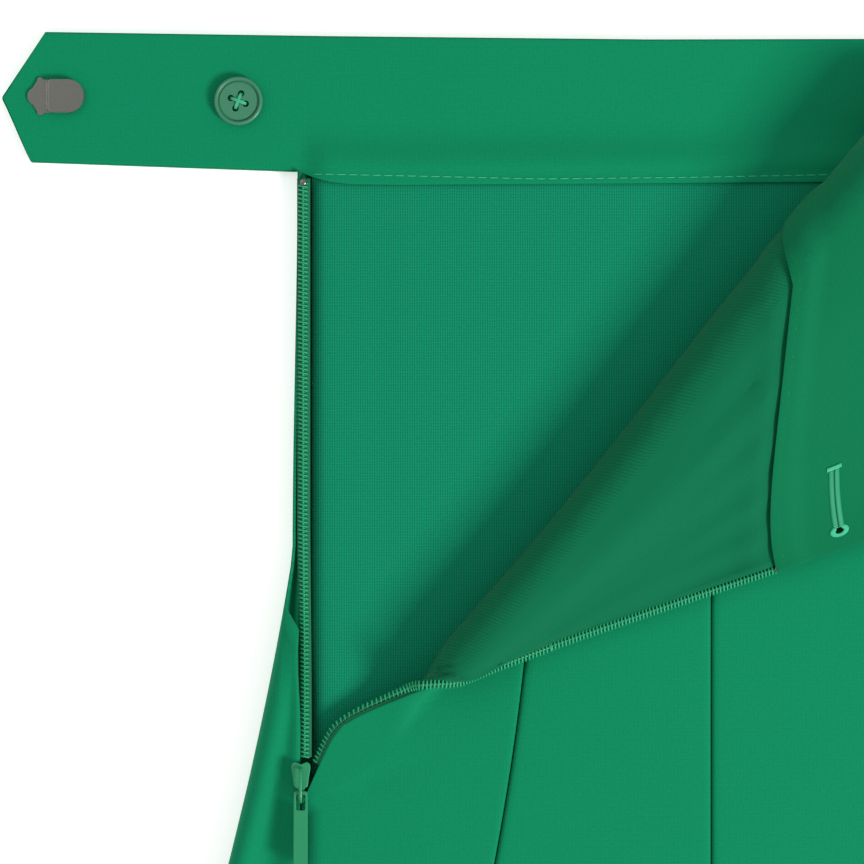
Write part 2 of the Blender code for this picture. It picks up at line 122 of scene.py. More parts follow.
@dataclass(frozen=True)
class SkirtCut:
    """Sizes of the flat skirt, in mm, and the lines worked out from them."""

    half_waist: float = 190.0
    waist_top: float = 199.5
    band: float = 41.0
    hem: float = -200.0
    hem_lift: float = 11.0
    front_drop: float = 8.0
    seam: float = 0.35
    top: float = 11.05
    flute_top: float = 40.7
    side_roll: float = 5.025
    seam_in: float = 1.2
    pleat_waist: tuple[float, ...] = (-119.0, -64.0, 0.0, 64.0, 119.0)
    pleat_hem: tuple[float, ...] = (-150.0, -64.0, 0.0, 64.0, 150.0)
    pleat_bow: float = 11.0
    pleat_depth: tuple[float, float] = (20.0, 24.0)
    step: float = 1.35

    def side_x(self, y: float) -> float:
        """Half width at the outer silhouette."""
        if y >= self.flute_top:
            low = self.waist_top - self.band
            return self.half_waist + 1.5 * smooth(low, self.flute_top, y)
        drop = self.flute_top - y
        return self.half_waist + 1.5 + 0.16 * drop + 0.00048 * drop * drop

    def seam_x(self) -> float:
        """Half width at the side seam, on the front below the zip."""
        return self.half_waist - self.seam_in

    def hem_y(self, x: float) -> float:
        """Height of the hem at x."""
        return self.hem + self.hem_lift * (x / 230.0) ** 2

    def front_waist(self, x: float) -> float:
        """Lower edge of the front band at x."""
        dip = self.front_drop * (1.0 - (x / self.half_waist) ** 2)
        return self.waist_top - self.band - dip

    def back_waist(self, x: float) -> float:
        """Lower edge of the back band at x."""
        return self.waist_top - self.band

    def pleat(self, line: float, depth: float) -> list[tuple[float, float]]:
        """Section of one knife pleat, as (x, depth) pairs.

        Args:
            line: x of the fold's edge.
            depth: width of the underlay.

        Returns:
            Points from the fold's edge, back under it and up to the next panel.
        """
        r, s = self.step / 2, self.step
        return [
            (line - 2.2, 0.0), (line - r, -0.03), (line - 0.25, -0.14), (line - 0.06, -0.38),
            (line - 0.06, -0.97), (line - 0.25, -1.2), (line - r, -s), (line - depth * 0.5, -s),
            (line - depth + r, -s), (line - depth + 0.1, -s - 0.25),
            (line - depth + 0.1, -s - 1.1), (line - depth + r, -2 * s),
            (line - depth * 0.5, -2 * s), (line + 0.1, -2 * s), (line + 0.75, -2.3),
            (line + 0.95, -1.5), (line + 1.05, -0.75), (line + 1.35, -0.25), (line + 2.0, -0.05),
            (line + 3.4, 0.0),
        ]

    def panel(self, left: float, right: float, t: float, shift: float = 0.0,
              between: int = 9) -> list[tuple[float, float]]:
        """Section of a pleated panel at share t from waist to hem.

        Args:
            left: x of the left end.
            right: x of the right end.
            t: share of the way from waist to hem.
            shift: moves every pleat sideways.
            between: points on each flat part.

        Returns:
            (x, depth) pairs from left to right along the cloth.
        """
        bow = self.pleat_bow * math.sin(math.pi * min(t * 1.3, 1.0))
        depth = mix(self.pleat_depth[0], self.pleat_depth[1], t)
        points = [(left, 0.0)]
        for waist_line, hem_line in zip(self.pleat_waist, self.pleat_hem):
            line = shift + mix(waist_line, hem_line, t)
            if abs(waist_line) == self.pleat_waist[-1]:
                line -= math.copysign(bow, waist_line)
            fold = self.pleat(line, depth)
            start = points[-1][0]
            points += [(mix(start, fold[0][0], i / between), 0.0) for i in range(1, between)]
            points += fold
        start = points[-1][0]
        points += [(mix(start, right, i / between), 0.0) for i in range(1, between)]
        points.append((right, 0.0))
        return points


CUT = SkirtCut()


def hermite(a: float, pace_a: float, b: float, pace_b: float, t: float) -> float:
    """Smooth way from a to b that leaves and arrives at the given paces."""
    t2, t3 = t * t, t * t * t
    return (a * (2 * t3 - 3 * t2 + 1) + pace_a * (t3 - 2 * t2 + t) + b * (3 * t2 - 2 * t3)
            + pace_b * (t3 - t2))


@dataclass(frozen=True)
class TurnedCorner:
    """The front's corner, rolled about the zip's lower end, in mm and radians.

    The fold and the zip's edge lie where the photograph shows them, and the flat cut is squeezed
    to fit between them: most of the corner has 0.3 to 0.55 of the area of its cut.
    """

    apex_x: float = -188.5
    apex_y: float = -35.2
    outline: tuple[float, float] = (math.radians(48.7), math.radians(50.2))
    outline_shift: tuple[float, float] = (90.0, 225.0)
    lining_out: float = 5.6
    zip_side: float = math.radians(90.0)
    roll_base: float = 3.0
    roll_rise: float = 0.02
    roll_near: float = 20.0
    zip_angle: float = 18.65
    zip_swing: float = 1252.0
    zip_open: float = 66.0
    reach_roll: float = 0.05
    reach_flap: float = 0.098
    edge_height: float = 0.8
    ridge: float = 4.0
    flap_slope: float = 0.5
    curl: tuple[float, float] = (30.0, 76.0)
    laid: tuple[float, float] = (30.0, 90.0)

    def polar(self, x: float, y: float) -> tuple[float, float]:
        """Distance and angle of a flat point round the apex."""
        dx, dy = x - self.apex_x, y - self.apex_y
        return math.hypot(dx, dy), math.atan2(dy, dx)

    def zip_edge(self, r: float) -> float:
        """Angle of the corner's zip edge at distance r from the apex."""
        swing = self.zip_angle + self.zip_swing / r
        return math.radians((swing ** -16 + self.zip_open ** -16) ** (-1 / 16))

    def start(self, r: float) -> float:
        """Angle where the flat front begins to roll, at distance r from the apex."""
        outline = mix(*self.outline, smooth(*self.outline_shift, r))
        roll = self.roll_base + self.roll_rise * r
        return outline - (self.lining_out + roll) / max(r, self.roll_near)

    def rolled(self, r: float, angle: float) -> Vector:
        """Outer face of the front at a polar place of its flat cut.

        Args:
            r: distance from the apex.
            angle: angle round the apex.

        Returns:
            The place in the skirt's frame, in mm.
        """
        roll = self.roll_base + self.roll_rise * r
        start = self.start(r)
        run = r * (angle - start)
        if run <= 0.0:
            return Vector((self.apex_x + r * math.cos(angle), self.apex_y + r * math.sin(angle),
                           CUT.top))
        curl = math.pi * smooth(*self.curl, r)
        laid = smooth(*self.laid, r)
        bend = roll * curl
        if run < bend:
            side = roll * math.sin(run / roll)
            lift = roll * (1.0 - math.cos(run / roll))
            scale = 1.0 - self.reach_roll * laid * run / bend
        else:
            share = (run - bend) / (r * (self.zip_side - start) - bend)
            edge = self.zip_edge(r * (1.0 - (self.reach_roll + self.reach_flap) * laid))
            x0, z0 = roll * math.sin(curl), roll * (1.0 - math.cos(curl))
            x1 = r * (edge - start)
            fall = self.flap_slope * max(x0 - x1, 0.0)
            z1 = max(self.edge_height * laid, z0 + self.ridge * math.sin(curl) - fall)
            pace = math.hypot(x1 - x0, z1 - z0)
            along_cloth, up = pace * math.cos(curl), pace * math.sin(curl)
            side = hermite(x0, along_cloth, x1, along_cloth, share)
            lift = hermite(z0, up, z1, 0.4 * up, share)
            scale = 1.0 - (self.reach_roll + self.reach_flap * share) * laid
        out = start + side / r
        return Vector((self.apex_x + r * scale * math.cos(out),
                       self.apex_y + r * scale * math.sin(out), CUT.top + lift))

    def place(self, x: float, y: float, offset: float) -> Vector:
        """Carry a point of the flat front to its place.

        Args:
            x: across the flat cut.
            y: up the flat cut.
            offset: distance from the outer face, negative towards the inside.

        Returns:
            The place in the skirt's frame, in mm.
        """
        r, angle = self.polar(x, y)
        if y <= self.apex_y or r < 1.0:
            return Vector((x, y, CUT.top + offset))
        dr, da = 0.2, 0.2 / r
        up = self.rolled(r + dr, angle) - self.rolled(r - dr, angle)
        across = self.rolled(r, angle + da) - self.rolled(r, angle - da)
        return self.rolled(r, angle) + up.cross(across).normalized() * offset

    def turned(self, x: float, y: float) -> float:
        """Share of the way over, from 0 on the flat front to 1 on the turned corner."""
        r, angle = self.polar(x, y)
        if y <= self.apex_y or r < 1.0:
            return 0.0
        middle = self.start(r) + (self.roll_base + self.roll_rise * r) / r
        return smooth(middle - 0.03, middle + 0.03, angle) * smooth(*self.curl, r)


CORNER = TurnedCorner()
Relief = Callable[[float, float], float]


# ---------------------------------------------------------------- making meshes

def place_mesh(name: str, bm: bmesh.types.BMesh, smooth: bool) -> bpy.types.Object:
    """Turn a bmesh in mm into an object in metres, and free it."""
    bmesh.ops.scale(bm, vec=Vector((MM, MM, MM)), verts=bm.verts)
    mesh = bpy.data.meshes.new(name)
    bm.to_mesh(mesh)
    bm.free()
    obj = bpy.data.objects.new(name, mesh)
    bpy.context.scene.collection.objects.link(obj)
    if smooth:
        mesh.shade_smooth()
    return obj


def piece(name: str, bm: bmesh.types.BMesh, mat: bpy.types.Material,
          body: Body = Body.SKIRT, replaces: Sequence[str] = (),
          flat: bool = False) -> bpy.types.Object:
    """Turn a bmesh in mm into a finished piece in metres that rides on a body.

    Args:
        name: the piece's name.
        bm: its mesh, freed here.
        mat: its material.
        body: the body it rides on.
        replaces: CAD nodes that it stands for.
        flat: keeps flat shading.

    Returns:
        The new object.
    """
    obj = place_mesh(name, bm, not flat)
    obj.data.materials.append(mat)
    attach(obj, body.value)
    if replaces:
        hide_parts(*replaces)
    LOG.info("%s: %d faces", name, len(obj.data.polygons))
    return obj


def subtract(obj: bpy.types.Object, tool: bpy.types.Object) -> None:
    """Add the cut that takes a tool's shape out of a piece."""
    cut = obj.modifiers.new("cut", "BOOLEAN")
    cut.operation = "DIFFERENCE"
    cut.object = tool


def settle(obj: bpy.types.Object, tool: bpy.types.Object) -> None:
    """Make a piece's modifiers part of its mesh, and remove the tool that cut it."""
    bpy.context.view_layer.update()
    graph = bpy.context.evaluated_depsgraph_get()
    made = bpy.data.meshes.new_from_object(obj.evaluated_get(graph))
    obj.modifiers.clear()
    obj.data = made
    bpy.data.objects.remove(tool)


def wall(obj: bpy.types.Object, thickness: float, even: bool = False) -> None:
    """Give an open surface its wall in mm, half to each side."""
    mod = obj.modifiers.new("wall", "SOLIDIFY")
    mod.thickness = thickness * MM
    mod.offset = 0.0
    mod.use_even_offset = even


def edge_round(obj: bpy.types.Object, width: float, segments: int = 2, angle: float = 40.0) -> None:
    """Round a piece's sharp edges by width in mm."""
    mod = obj.modifiers.new("edge", "BEVEL")
    mod.width = width * MM
    mod.segments = segments
    mod.limit_method = "ANGLE"
    mod.angle_limit = math.radians(angle)


def lattice(rows: Sequence[Sequence[tuple[float, float, float]]]) -> bmesh.types.BMesh:
    """Grid moved onto rows of (x, y, offset) points."""
    bm = bmesh.new()
    wide, tall = len(rows[0]), len(rows)
    bmesh.ops.create_grid(bm, x_segments=wide - 1, y_segments=tall - 1, size=1.0)
    bm.verts.ensure_lookup_table()
    for index, vert in enumerate(bm.verts):
        vert.co = rows[index // wide][index % wide]
    bmesh.ops.recalc_face_normals(bm, faces=bm.faces)
    return bm


def keep_cut(bm: bmesh.types.BMesh) -> None:
    """Store each corner's x and y as they are now, in metres, as the piece's UV map."""
    layer = bm.loops.layers.uv.new("cut")
    for face in bm.faces:
        for loop in face.loops:
            loop[layer].uv = (loop.vert.co.x * MM, loop.vert.co.y * MM)


def cut_plane(bm: bmesh.types.BMesh, faces: list, spot: Vector, normal: Vector) -> None:
    """Add the edges where a plane crosses some faces."""
    geom = faces + list({e for f in faces for e in f.edges})
    geom += list({v for f in faces for v in f.verts})
    bmesh.ops.bisect_plane(bm, geom=geom, dist=0.02, plane_co=spot, plane_no=normal)


def cut_folds(bm: bmesh.types.BMesh) -> None:
    """Add edges along the cone's lines, close together in the roll and near the apex."""
    centre = Vector((CORNER.apex_x, CORNER.apex_y, 0.0))
    degrees = [26.0, 30.0, 33.0, 36.0, 38.0, 40.0, 42.0, 43.5] + spread(44.5, 53.5, 19)
    for value in degrees + [54.5, 56.0, 58.0, 61.0, 65.0, 70.0, 75.0, 80.0, 84.0, 87.0]:
        angle = math.radians(value)
        upper = [f for f in bm.faces if f.calc_center_median().y > CORNER.apex_y - 12.0]
        cut_plane(bm, upper, centre, Vector((-math.sin(angle), math.cos(angle), 0.0)))
    axis = Vector((math.cos(CORNER.outline[0]), math.sin(CORNER.outline[0]), 0.0))
    for distance in spread(3.0, 90.0, 30):
        near = [f for f in bm.faces if (f.calc_center_median() - centre).length < 120.0]
        cut_plane(bm, near, centre + axis * distance, axis)


def carry(bm: bmesh.types.BMesh, relief: Optional[Relief] = None) -> None:
    """Carry a flat front piece onto the turned corner, its z being the offset."""
    for vert in bm.verts:
        x, y, offset = vert.co
        extra = relief(x, y) if relief else 0.0
        vert.co = CORNER.place(x, y, offset + extra)


def prism(outline: Iterable[tuple[float, float]], low: float, high: float) -> bmesh.types.BMesh:
    """Closed prism over an outline of (x, y) points."""
    bm = bmesh.new()
    face = bm.faces.new([bm.verts.new((x, y, low)) for x, y in outline])
    out = bmesh.ops.extrude_face_region(bm, geom=[face])
    verts = [g for g in out["geom"] if isinstance(g, bmesh.types.BMVert)]
    bmesh.ops.translate(bm, vec=Vector((0.0, 0.0, high - low)), verts=verts)
    bmesh.ops.recalc_face_normals(bm, faces=bm.faces)
    return bm


def arc(cx: float, cy: float, r: float, start: float, end: float,
        count: int) -> list[tuple[float, float]]:
    """Points round an arc, angles in degrees."""
    angles = [math.radians(mix(start, end, i / count)) for i in range(count + 1)]
    return [(cx + r * math.cos(a), cy + r * math.sin(a)) for a in angles]


def thread(bm: bmesh.types.BMesh, a: Vector, b: Vector, radius: float, sides: int = 6) -> None:
    """Add one short round-ended thread between two points.

    Args:
        bm: the mesh it is added to.
        a: one end.
        b: the other end.
        radius: half its thickness in mm.
        sides: corners round it.
    """
    line = b - a
    turn = line.to_track_quat("Z", "Y").to_matrix().to_4x4()
    stretch = Matrix.Diagonal((radius, radius, line.length / 2.0 + radius, 1.0))
    place = Matrix.Translation((a + b) / 2.0) @ turn @ stretch
    bmesh.ops.create_uvsphere(bm, u_segments=sides, v_segments=5, radius=1.0, matrix=place)


def tube(bm: bmesh.types.BMesh, path: Sequence[Vector], radius: float, sides: int = 5) -> None:
    """Add a closed tube along a path, by extruding a ring from point to point."""
    ring: list = []
    first = None
    for i, spot in enumerate(path):
        ahead = path[min(i + 1, len(path) - 1)] - path[max(i - 1, 0)]
        turn = ahead.to_track_quat("Z", "Y").to_matrix().to_4x4()
        new = bmesh.ops.create_circle(bm, cap_ends=False, segments=sides, radius=radius,
                                      matrix=Matrix.Translation(spot) @ turn)["verts"]
        if ring:
            best = min(range(sides), key=lambda k: (new[k].co - ring[0].co).length)
            new = new[best:] + new[:best]
            for k in range(sides):
                bm.faces.new((ring[k], ring[(k + 1) % sides], new[(k + 1) % sides], new[k]))
        else:
            first = new
        ring = new
    bm.faces.new(first)
    bm.faces.new(ring)


# ---------------------------------------------------------------- finishes

def linear(colour: str) -> tuple[float, float, float, float]:
    """Linear colour of an sRGB hex value such as #14966A."""
    parts = [int(colour[i:i + 2], 16) / 255.0 for i in (1, 3, 5)]
    return (*[c / 12.92 if c <= 0.04045 else ((c + 0.055) / 1.055) ** 2.4 for c in parts], 1.0)


def node(tree: bpy.types.NodeTree, kind: str, settings: Optional[dict] = None,
         **links: object) -> bpy.types.Node:
    """Add a shader node.

    Args:
        tree: the material's node tree.
        kind: the node's type name.
        settings: its properties by name.
        links: values or output sockets by input name, spaces as underscores.

    Returns:
        The new node.
    """
    new = tree.nodes.new(kind)
    for key, value in (settings or {}).items():
        setattr(new, key, value)
    for key, value in links.items():
        name = key.replace("_", " ").strip()
        target = new.inputs[int(name)] if name.isdigit() else new.inputs[name]
        if isinstance(value, bpy.types.NodeSocket):
            tree.links.new(value, target)
        else:
            target.default_value = value
    return new


def blank(name: str) -> tuple[bpy.types.Material, bpy.types.NodeTree, bpy.types.Node]:
    """New material, with its node tree and its shader."""
    mat = bpy.data.materials.new(name)
    mat.use_nodes = True
    return mat, mat.node_tree, mat.node_tree.nodes["Principled BSDF"]


def bands(tree: bpy.types.NodeTree, cut: bpy.types.NodeSocket, way: str, scale: float,
          distortion: float) -> bpy.types.NodeSocket:
    """Threads that lie side by side across X or Y of the flat cut."""
    return node(tree, "ShaderNodeTexWave", {"bands_direction": way}, Vector=cut, Scale=scale,
                Distortion=distortion, Detail=1.0).outputs["Fac"]


@dataclass(frozen=True)
class StretchWeave:
    """Four-way stretch polyester weave: matt, with a faint crepe grain of crossed threads."""

    name: str = "stretch_polyester_weave"
    colour: str = "#089A69"
    deep: str = "#056C49"
    thread_mm: float = 0.42     # real threads are about 0.2 mm; drawn coarser, so that they show
    grain_mm: float = 0.9
    mottle_mm: float = 60.0
    roughness: float = 0.82
    bump_mm: float = 0.05

    def make(self) -> bpy.types.Material:
        """Build the material, its grain laid along the flat cut."""
        mat, tree, shader = blank(self.name)
        cut = node(tree, "ShaderNodeUVMap", {"uv_map": "cut"}).outputs["UV"]
        per_metre = 2.0 * math.pi / (self.thread_mm * MM) / 20.0
        warp = bands(tree, cut, "X", per_metre, 1.2)
        weft = bands(tree, cut, "Y", per_metre * 0.8, 1.2)
        weave = node(tree, "ShaderNodeMath", {"operation": "MULTIPLY"}, _0=warp, _1=weft)
        grain = node(tree, "ShaderNodeTexNoise", None, Vector=cut,
                     Scale=1.0 / (self.grain_mm * MM), Detail=4.0, Roughness=0.65)
        mottle = node(tree, "ShaderNodeTexNoise", None, Vector=cut,
                      Scale=1.0 / (self.mottle_mm * MM), Detail=2.0)
        both = node(tree, "ShaderNodeMath", {"operation": "ADD"},
                    _0=weave.outputs[0], _1=grain.outputs["Fac"])
        shade = node(tree, "ShaderNodeMath", {"operation": "MULTIPLY_ADD"},
                     _0=both.outputs[0], _1=0.42, _2=0.12)
        tint = node(tree, "ShaderNodeMix", {"data_type": "RGBA"}, _0=shade.outputs[0],
                    _6=linear(self.deep), _7=linear(self.colour))
        soft = node(tree, "ShaderNodeMapRange", None, Value=mottle.outputs["Fac"],
                    To_Min=0.97, To_Max=1.03)
        final = node(tree, "ShaderNodeVectorMath", {"operation": "SCALE"},
                     _0=tint.outputs[2], Scale=soft.outputs[0])
        relief = node(tree, "ShaderNodeBump", None, Strength=0.45, Distance=self.bump_mm * MM,
                      Height=both.outputs[0])
        tree.links.new(final.outputs[0], shader.inputs["Base Color"])
        tree.links.new(relief.outputs["Normal"], shader.inputs["Normal"])
        shader.inputs["Roughness"].default_value = self.roughness
        shader.inputs["Specular IOR Level"].default_value = 0.1
        shader.inputs["Sheen Weight"].default_value = 0.04
        shader.inputs["Sheen Roughness"].default_value = 0.4
        return mat


@dataclass(frozen=True)
class WarpKnit:
    """Warp-knit polyester lining: fine upright wales that catch a faint line of light."""

    name: str = "warp_knit_lining"
    colour: str = "#0C9E74"
    deep: str = "#076146"
    wale_mm: float = 0.72
    course_mm: float = 0.9
    roughness: float = 0.85
    bump_mm: float = 0.08

    def make(self) -> bpy.types.Material:
        """Build the material, its wales running up the flat cut."""
        mat, tree, shader = blank(self.name)
        cut = node(tree, "ShaderNodeUVMap", {"uv_map": "cut"}).outputs["UV"]
        wale = bands(tree, cut, "X", 2.0 * math.pi / (self.wale_mm * MM) / 20.0, 0.5)
        course = bands(tree, cut, "Y", 2.0 * math.pi / (self.course_mm * MM) / 20.0, 1.5)
        grain = node(tree, "ShaderNodeTexNoise", None, Vector=cut, Scale=1400.0, Detail=3.0)
        knit = node(tree, "ShaderNodeMath", {"operation": "MULTIPLY_ADD"},
                    _0=course, _1=0.35, _2=wale)
        fuzz = node(tree, "ShaderNodeMath", {"operation": "MULTIPLY_ADD"},
                    _0=grain.outputs["Fac"], _1=0.8, _2=knit.outputs[0])
        shade = node(tree, "ShaderNodeMath", {"operation": "MULTIPLY"},
                     _0=fuzz.outputs[0], _1=0.46)
        tint = node(tree, "ShaderNodeMix", {"data_type": "RGBA"}, _0=shade.outputs[0],
                    _6=linear(self.deep), _7=linear(self.colour))
        relief = node(tree, "ShaderNodeBump", None, Strength=0.5, Distance=self.bump_mm * MM,
                      Height=fuzz.outputs[0])
        tree.links.new(tint.outputs[2], shader.inputs["Base Color"])
        tree.links.new(relief.outputs["Normal"], shader.inputs["Normal"])
        shader.inputs["Roughness"].default_value = self.roughness
        shader.inputs["Specular IOR Level"].default_value = 0.1
        shader.inputs["Sheen Weight"].default_value = 0.04
        return mat


@dataclass(frozen=True)
class Solid:
    """A plain finish with a fine grain: spun thread, nylon, resin, paint or plated steel."""

    name: str
    colour: str
    roughness: float
    metallic: float = 0.0
    grain_mm: float = 0.4
    grain_share: float = 0.12
    bump_mm: float = 0.01
    coat: float = 0.0

    def make(self) -> bpy.types.Material:
        """Build the material on object coordinates."""
        mat, tree, shader = blank(self.name)
        place = node(tree, "ShaderNodeTexCoord").outputs["Object"]
        grain = node(tree, "ShaderNodeTexNoise", None, Vector=place,
                     Scale=1.0 / (self.grain_mm * MM), Detail=3.0)
        shade = node(tree, "ShaderNodeMapRange", None, Value=grain.outputs["Fac"],
                     To_Min=1.0 - self.grain_share, To_Max=1.0 + self.grain_share)
        base = node(tree, "ShaderNodeVectorMath", {"operation": "SCALE"}, Scale=shade.outputs[0])
        base.inputs[0].default_value = linear(self.colour)[:3]
        rough = node(tree, "ShaderNodeMapRange", None, Value=grain.outputs["Fac"],
                     To_Min=self.roughness * 0.85, To_Max=min(self.roughness * 1.15, 1.0))
        relief = node(tree, "ShaderNodeBump", None, Strength=0.4, Distance=self.bump_mm * MM,
                      Height=grain.outputs["Fac"])
        tree.links.new(base.outputs[0], shader.inputs["Base Color"])
        tree.links.new(rough.outputs[0], shader.inputs["Roughness"])
        tree.links.new(relief.outputs["Normal"], shader.inputs["Normal"])
        shader.inputs["Metallic"].default_value = self.metallic
        shader.inputs["Coat Weight"].default_value = self.coat
        return mat


@dataclass
class Finishes:
    """Every finish of the skirt, made once."""

    def __post_init__(self) -> None:
        """Make the materials."""
        self.outer = StretchWeave().make()
        self.facing = StretchWeave(name="stretch_polyester_facing", colour="#089E6C",
                                   deep="#06704C").make()
        # The front's facing below is the same weave darkened: painted shade for the turned corner,
        # which lies in shade.
        self.front_facing_painted_shade = StretchWeave(name="front_facing_painted_shade", colour="#068454",
                                         deep="#045C3B").make()
        self.lining = WarpKnit().make()
        # Same knit as the back's lining, darker in colour: painted shade for the turned corner's
        # lining, which lies in shade.
        self.front_lining = WarpKnit(name="front_lining_knit_painted_shade", colour="#07754D",
                                     deep="#055B3B", bump_mm=0.04).make()
        self.thread = Solid("spun_polyester_thread", "#3DBB8B", 0.7, grain_mm=0.2).make()
        self.tape = Solid("woven_zip_tape", "#0B6E49", 0.85, grain_mm=0.3, bump_mm=0.05).make()
        self.coil = Solid("dyed_nylon_coil", "#1BA06E", 0.42, grain_mm=0.8).make()
        self.paint = Solid("painted_zinc", "#0A8A58", 0.4, grain_mm=1.5, coat=0.3,
                           grain_share=0.05).make()
        self.steel = Solid("dark_nickel_plated_steel", "#83837C", 0.27, metallic=1.0,
                           grain_mm=0.12, grain_share=0.2, bump_mm=0.01).make()
        self.resin = Solid("dyed_polyester_resin", "#37805F", 0.38, grain_mm=2.5,
                           grain_share=0.06, coat=0.15).make()


# ---------------------------------------------------------------- cloth

Row = list[tuple[float, float, float]]
STITCH_PITCH = 3.6
STITCH_GAP = 0.9
STITCH_RADIUS = 0.17


def flat_cut(bm: bmesh.types.BMesh) -> tuple[float, float, float]:
    """Length, width and area, in metres, of a flat piece before it is turned."""
    xs, ys = [v.co.x for v in bm.verts], [v.co.y for v in bm.verts]
    area = sum(face.calc_area() for face in bm.faces)
    return (max(xs) - min(xs)) * MM, (max(ys) - min(ys)) * MM, area * MM * MM


@dataclass
class Back:
    """The skirt's back: pleated panel, lining, and the waistband with its pointed tab."""

    finishes: Finishes
    level: float = 0.5
    lining_z: float = 4.62
    lining_edge: float = 4.6
    lining_hem: float = 45.0
    shift: float = -5.0
    shell: float = 0.6
    band_wall: float = 3.0

    def side(self, y: float, count: int) -> list[tuple[float, float]]:
        """Points of the turn round the side, as (distance inside the edge, z)."""
        low = CUT.flute_top - 52.0
        share = smooth(CUT.flute_top, low, y) if y > low else 1.0
        angle = mix(math.pi * 0.5, math.pi, share)
        roll = CUT.side_roll
        straight = max(CUT.side_x(y) - 0.5 - CUT.seam_x() - roll, 0.0) * share
        length = roll * angle + straight
        points = []
        for i in range(1, count + 1):
            run = length * i / count
            if run <= roll * angle:
                a = run / roll
                points.append((roll * (1.0 - math.sin(a)), roll * (1.0 - math.cos(a))))
            else:
                rest = run - roll * angle
                dip = min(straight * 0.22, 3.2) * bump(rest, straight * 0.42, straight * 0.5)
                points.append((roll + rest, 2.0 * roll - dip))
        return points

    def panel(self) -> None:
        """Pleated outer cloth, whose sides turn up onto the front as soft flutes."""
        rows: list[Row] = []
        for t in spread(0.0, 1.0, 56):
            y_side = mix(CUT.back_waist(0) - CUT.seam, CUT.hem_y(CUT.half_waist), t)
            edge = CUT.side_x(y_side) - 0.5
            y_side = mix(CUT.back_waist(0) - CUT.seam, CUT.hem_y(edge), t)
            flat = edge - CUT.side_roll
            wrap = self.side(y_side, 18)
            row = [(-edge + inside, y_side, self.level + z) for inside, z in reversed(wrap)]
            for x, depth in CUT.panel(-flat, flat, t, self.shift):
                y = mix(CUT.back_waist(x) - CUT.seam, CUT.hem_y(x), t)
                row.append((x, y, self.level - depth))
            row += [(edge - inside, y_side, self.level + z) for inside, z in wrap]
            rows.append(row)
        bm = lattice(rows)
        keep_cut(bm)
        obj = piece("back_panel_cloth", bm, self.finishes.outer,
                    replaces=["back_panel"])
        wall(obj, 2.0 * self.level - 0.1)

    def ripple(self, x: float, y: float) -> float:
        """Soft unevenness of the lining where it lies loose."""
        fall = smooth(150.0, 90.0, y)
        wave = math.sin(x * 0.045 + y * 0.012) * 0.16 + math.sin(y * 0.05 - x * 0.02) * 0.12
        by_zip = 0.5 * bump(x, -172.0, 16.0) * smooth(-30.0, 40.0, y)
        return wave * fall - by_zip

    def lining(self) -> None:
        """Plain knit lining, open to view inside the turned corner."""
        rows: list[Row] = []
        wide = CUT.half_waist - self.lining_edge
        for t in spread(0.0, 1.0, 70):
            row = []
            for x in spread(-wide, wide, 90):
                y = mix(CUT.back_waist(x) - 1.0, self.lining_hem + CUT.hem_y(x), t)
                rise = 0.18 + max(self.ripple(x, y), -0.15)
                turned_in = 0.9 * smooth(-wide + 2.0, -wide, x)
                row.append((x, y, self.lining_z + rise - turned_in))
            rows.append(row)
        bm = lattice(rows)
        keep_cut(bm)
        obj = piece("back_lining_cloth", bm, self.finishes.lining,
                    replaces=["back_lining"])
        wall(obj, self.shell)

    def lower_edge(self, u: float) -> float:
        """Pixel row of the band's lower edge, lip included, at pixel column u."""
        table = ((29.5, 161.0), (295.0, 170.5), (301.0, 172.5), (312.0, 177.5), (328.0, 182.6),
                 (350.0, 185.0), (400.0, 185.7), (829.0, 182.8), (1539.0, 182.5))
        if u < 29.5:
            return mix(98.5, 161.0, smooth(0.0, 29.5, u) * 0.15 + 0.85 * (u - 0.8) / 28.7)
        return along(table, u)

    def upper_edge(self, u: float) -> float:
        """Pixel row of the band's upper edge at pixel column u."""
        table = ((44.0, 30.5), (330.0, 34.7), (400.0, 35.4), (650.0, 38.0), (1539.0, 36.0))
        if u < 44.0:
            return mix(95.5, 30.5, (u - 0.8) / 43.2)
        return along(table, u)

    def band_rows(self, inset: float, z: Callable[[float, float, float], float],
                  lip: bool) -> list[Row]:
        """Rows of points over the band's outline.

        Args:
            inset: distance kept from the outline, in mm.
            z: height from (x, y, distance above the lower edge).
            lip: whether the lower edge laps over the lining.

        Returns:
            Rows from the lower edge to the upper.
        """
        columns = [0.8, 4.0, 10.0, 18.0, 25.0, 29.5, 34.0, 39.0, 44.0, 48.0]
        columns += spread(56.0, 290.0, 30) + [294.0, 298.0, 303.0, 309.0]
        columns += spread(316.0, 1539.0, 150)
        rows = []
        shares = [0.0, 0.015, 0.04, 0.07, 0.1, 0.135, 0.17, 0.21, 0.26, 0.33, 0.42, 0.52, 0.62,
                  0.72, 0.82, 0.9, 0.95, 0.98, 1.0]
        for share in shares:
            row = []
            for u in columns:
                low_v = self.lower_edge(u)
                if not lip and u > 296.0:
                    low_v = VIEW_V - (CUT.waist_top - CUT.band) / PX
                x, low = at(u, low_v)
                _, high = at(u, self.upper_edge(u))
                low, high = low + inset, high - inset
                if high - low < 0.6:
                    low, high = (low + high) / 2.0 - 0.3, (low + high) / 2.0 + 0.3
                y = mix(low, high, share)
                x += inset * smooth(40.0, 0.8, u)
                row.append((x, y, z(x, y, y - low)))
            rows.append(row)
        return rows

    def band(self) -> None:
        """Outer ply of the band and tab, a firm double cloth with rounded edges."""
        rows = self.band_rows(0.0, lambda x, y, up: self.band_wall / 2, lip=False)
        bm = lattice(rows)
        keep_cut(bm)
        obj = piece("back_band_cloth", bm, self.finishes.outer, replaces=["back_band"])
        wall(obj, self.band_wall)
        edge_round(obj, 1.1, 4)

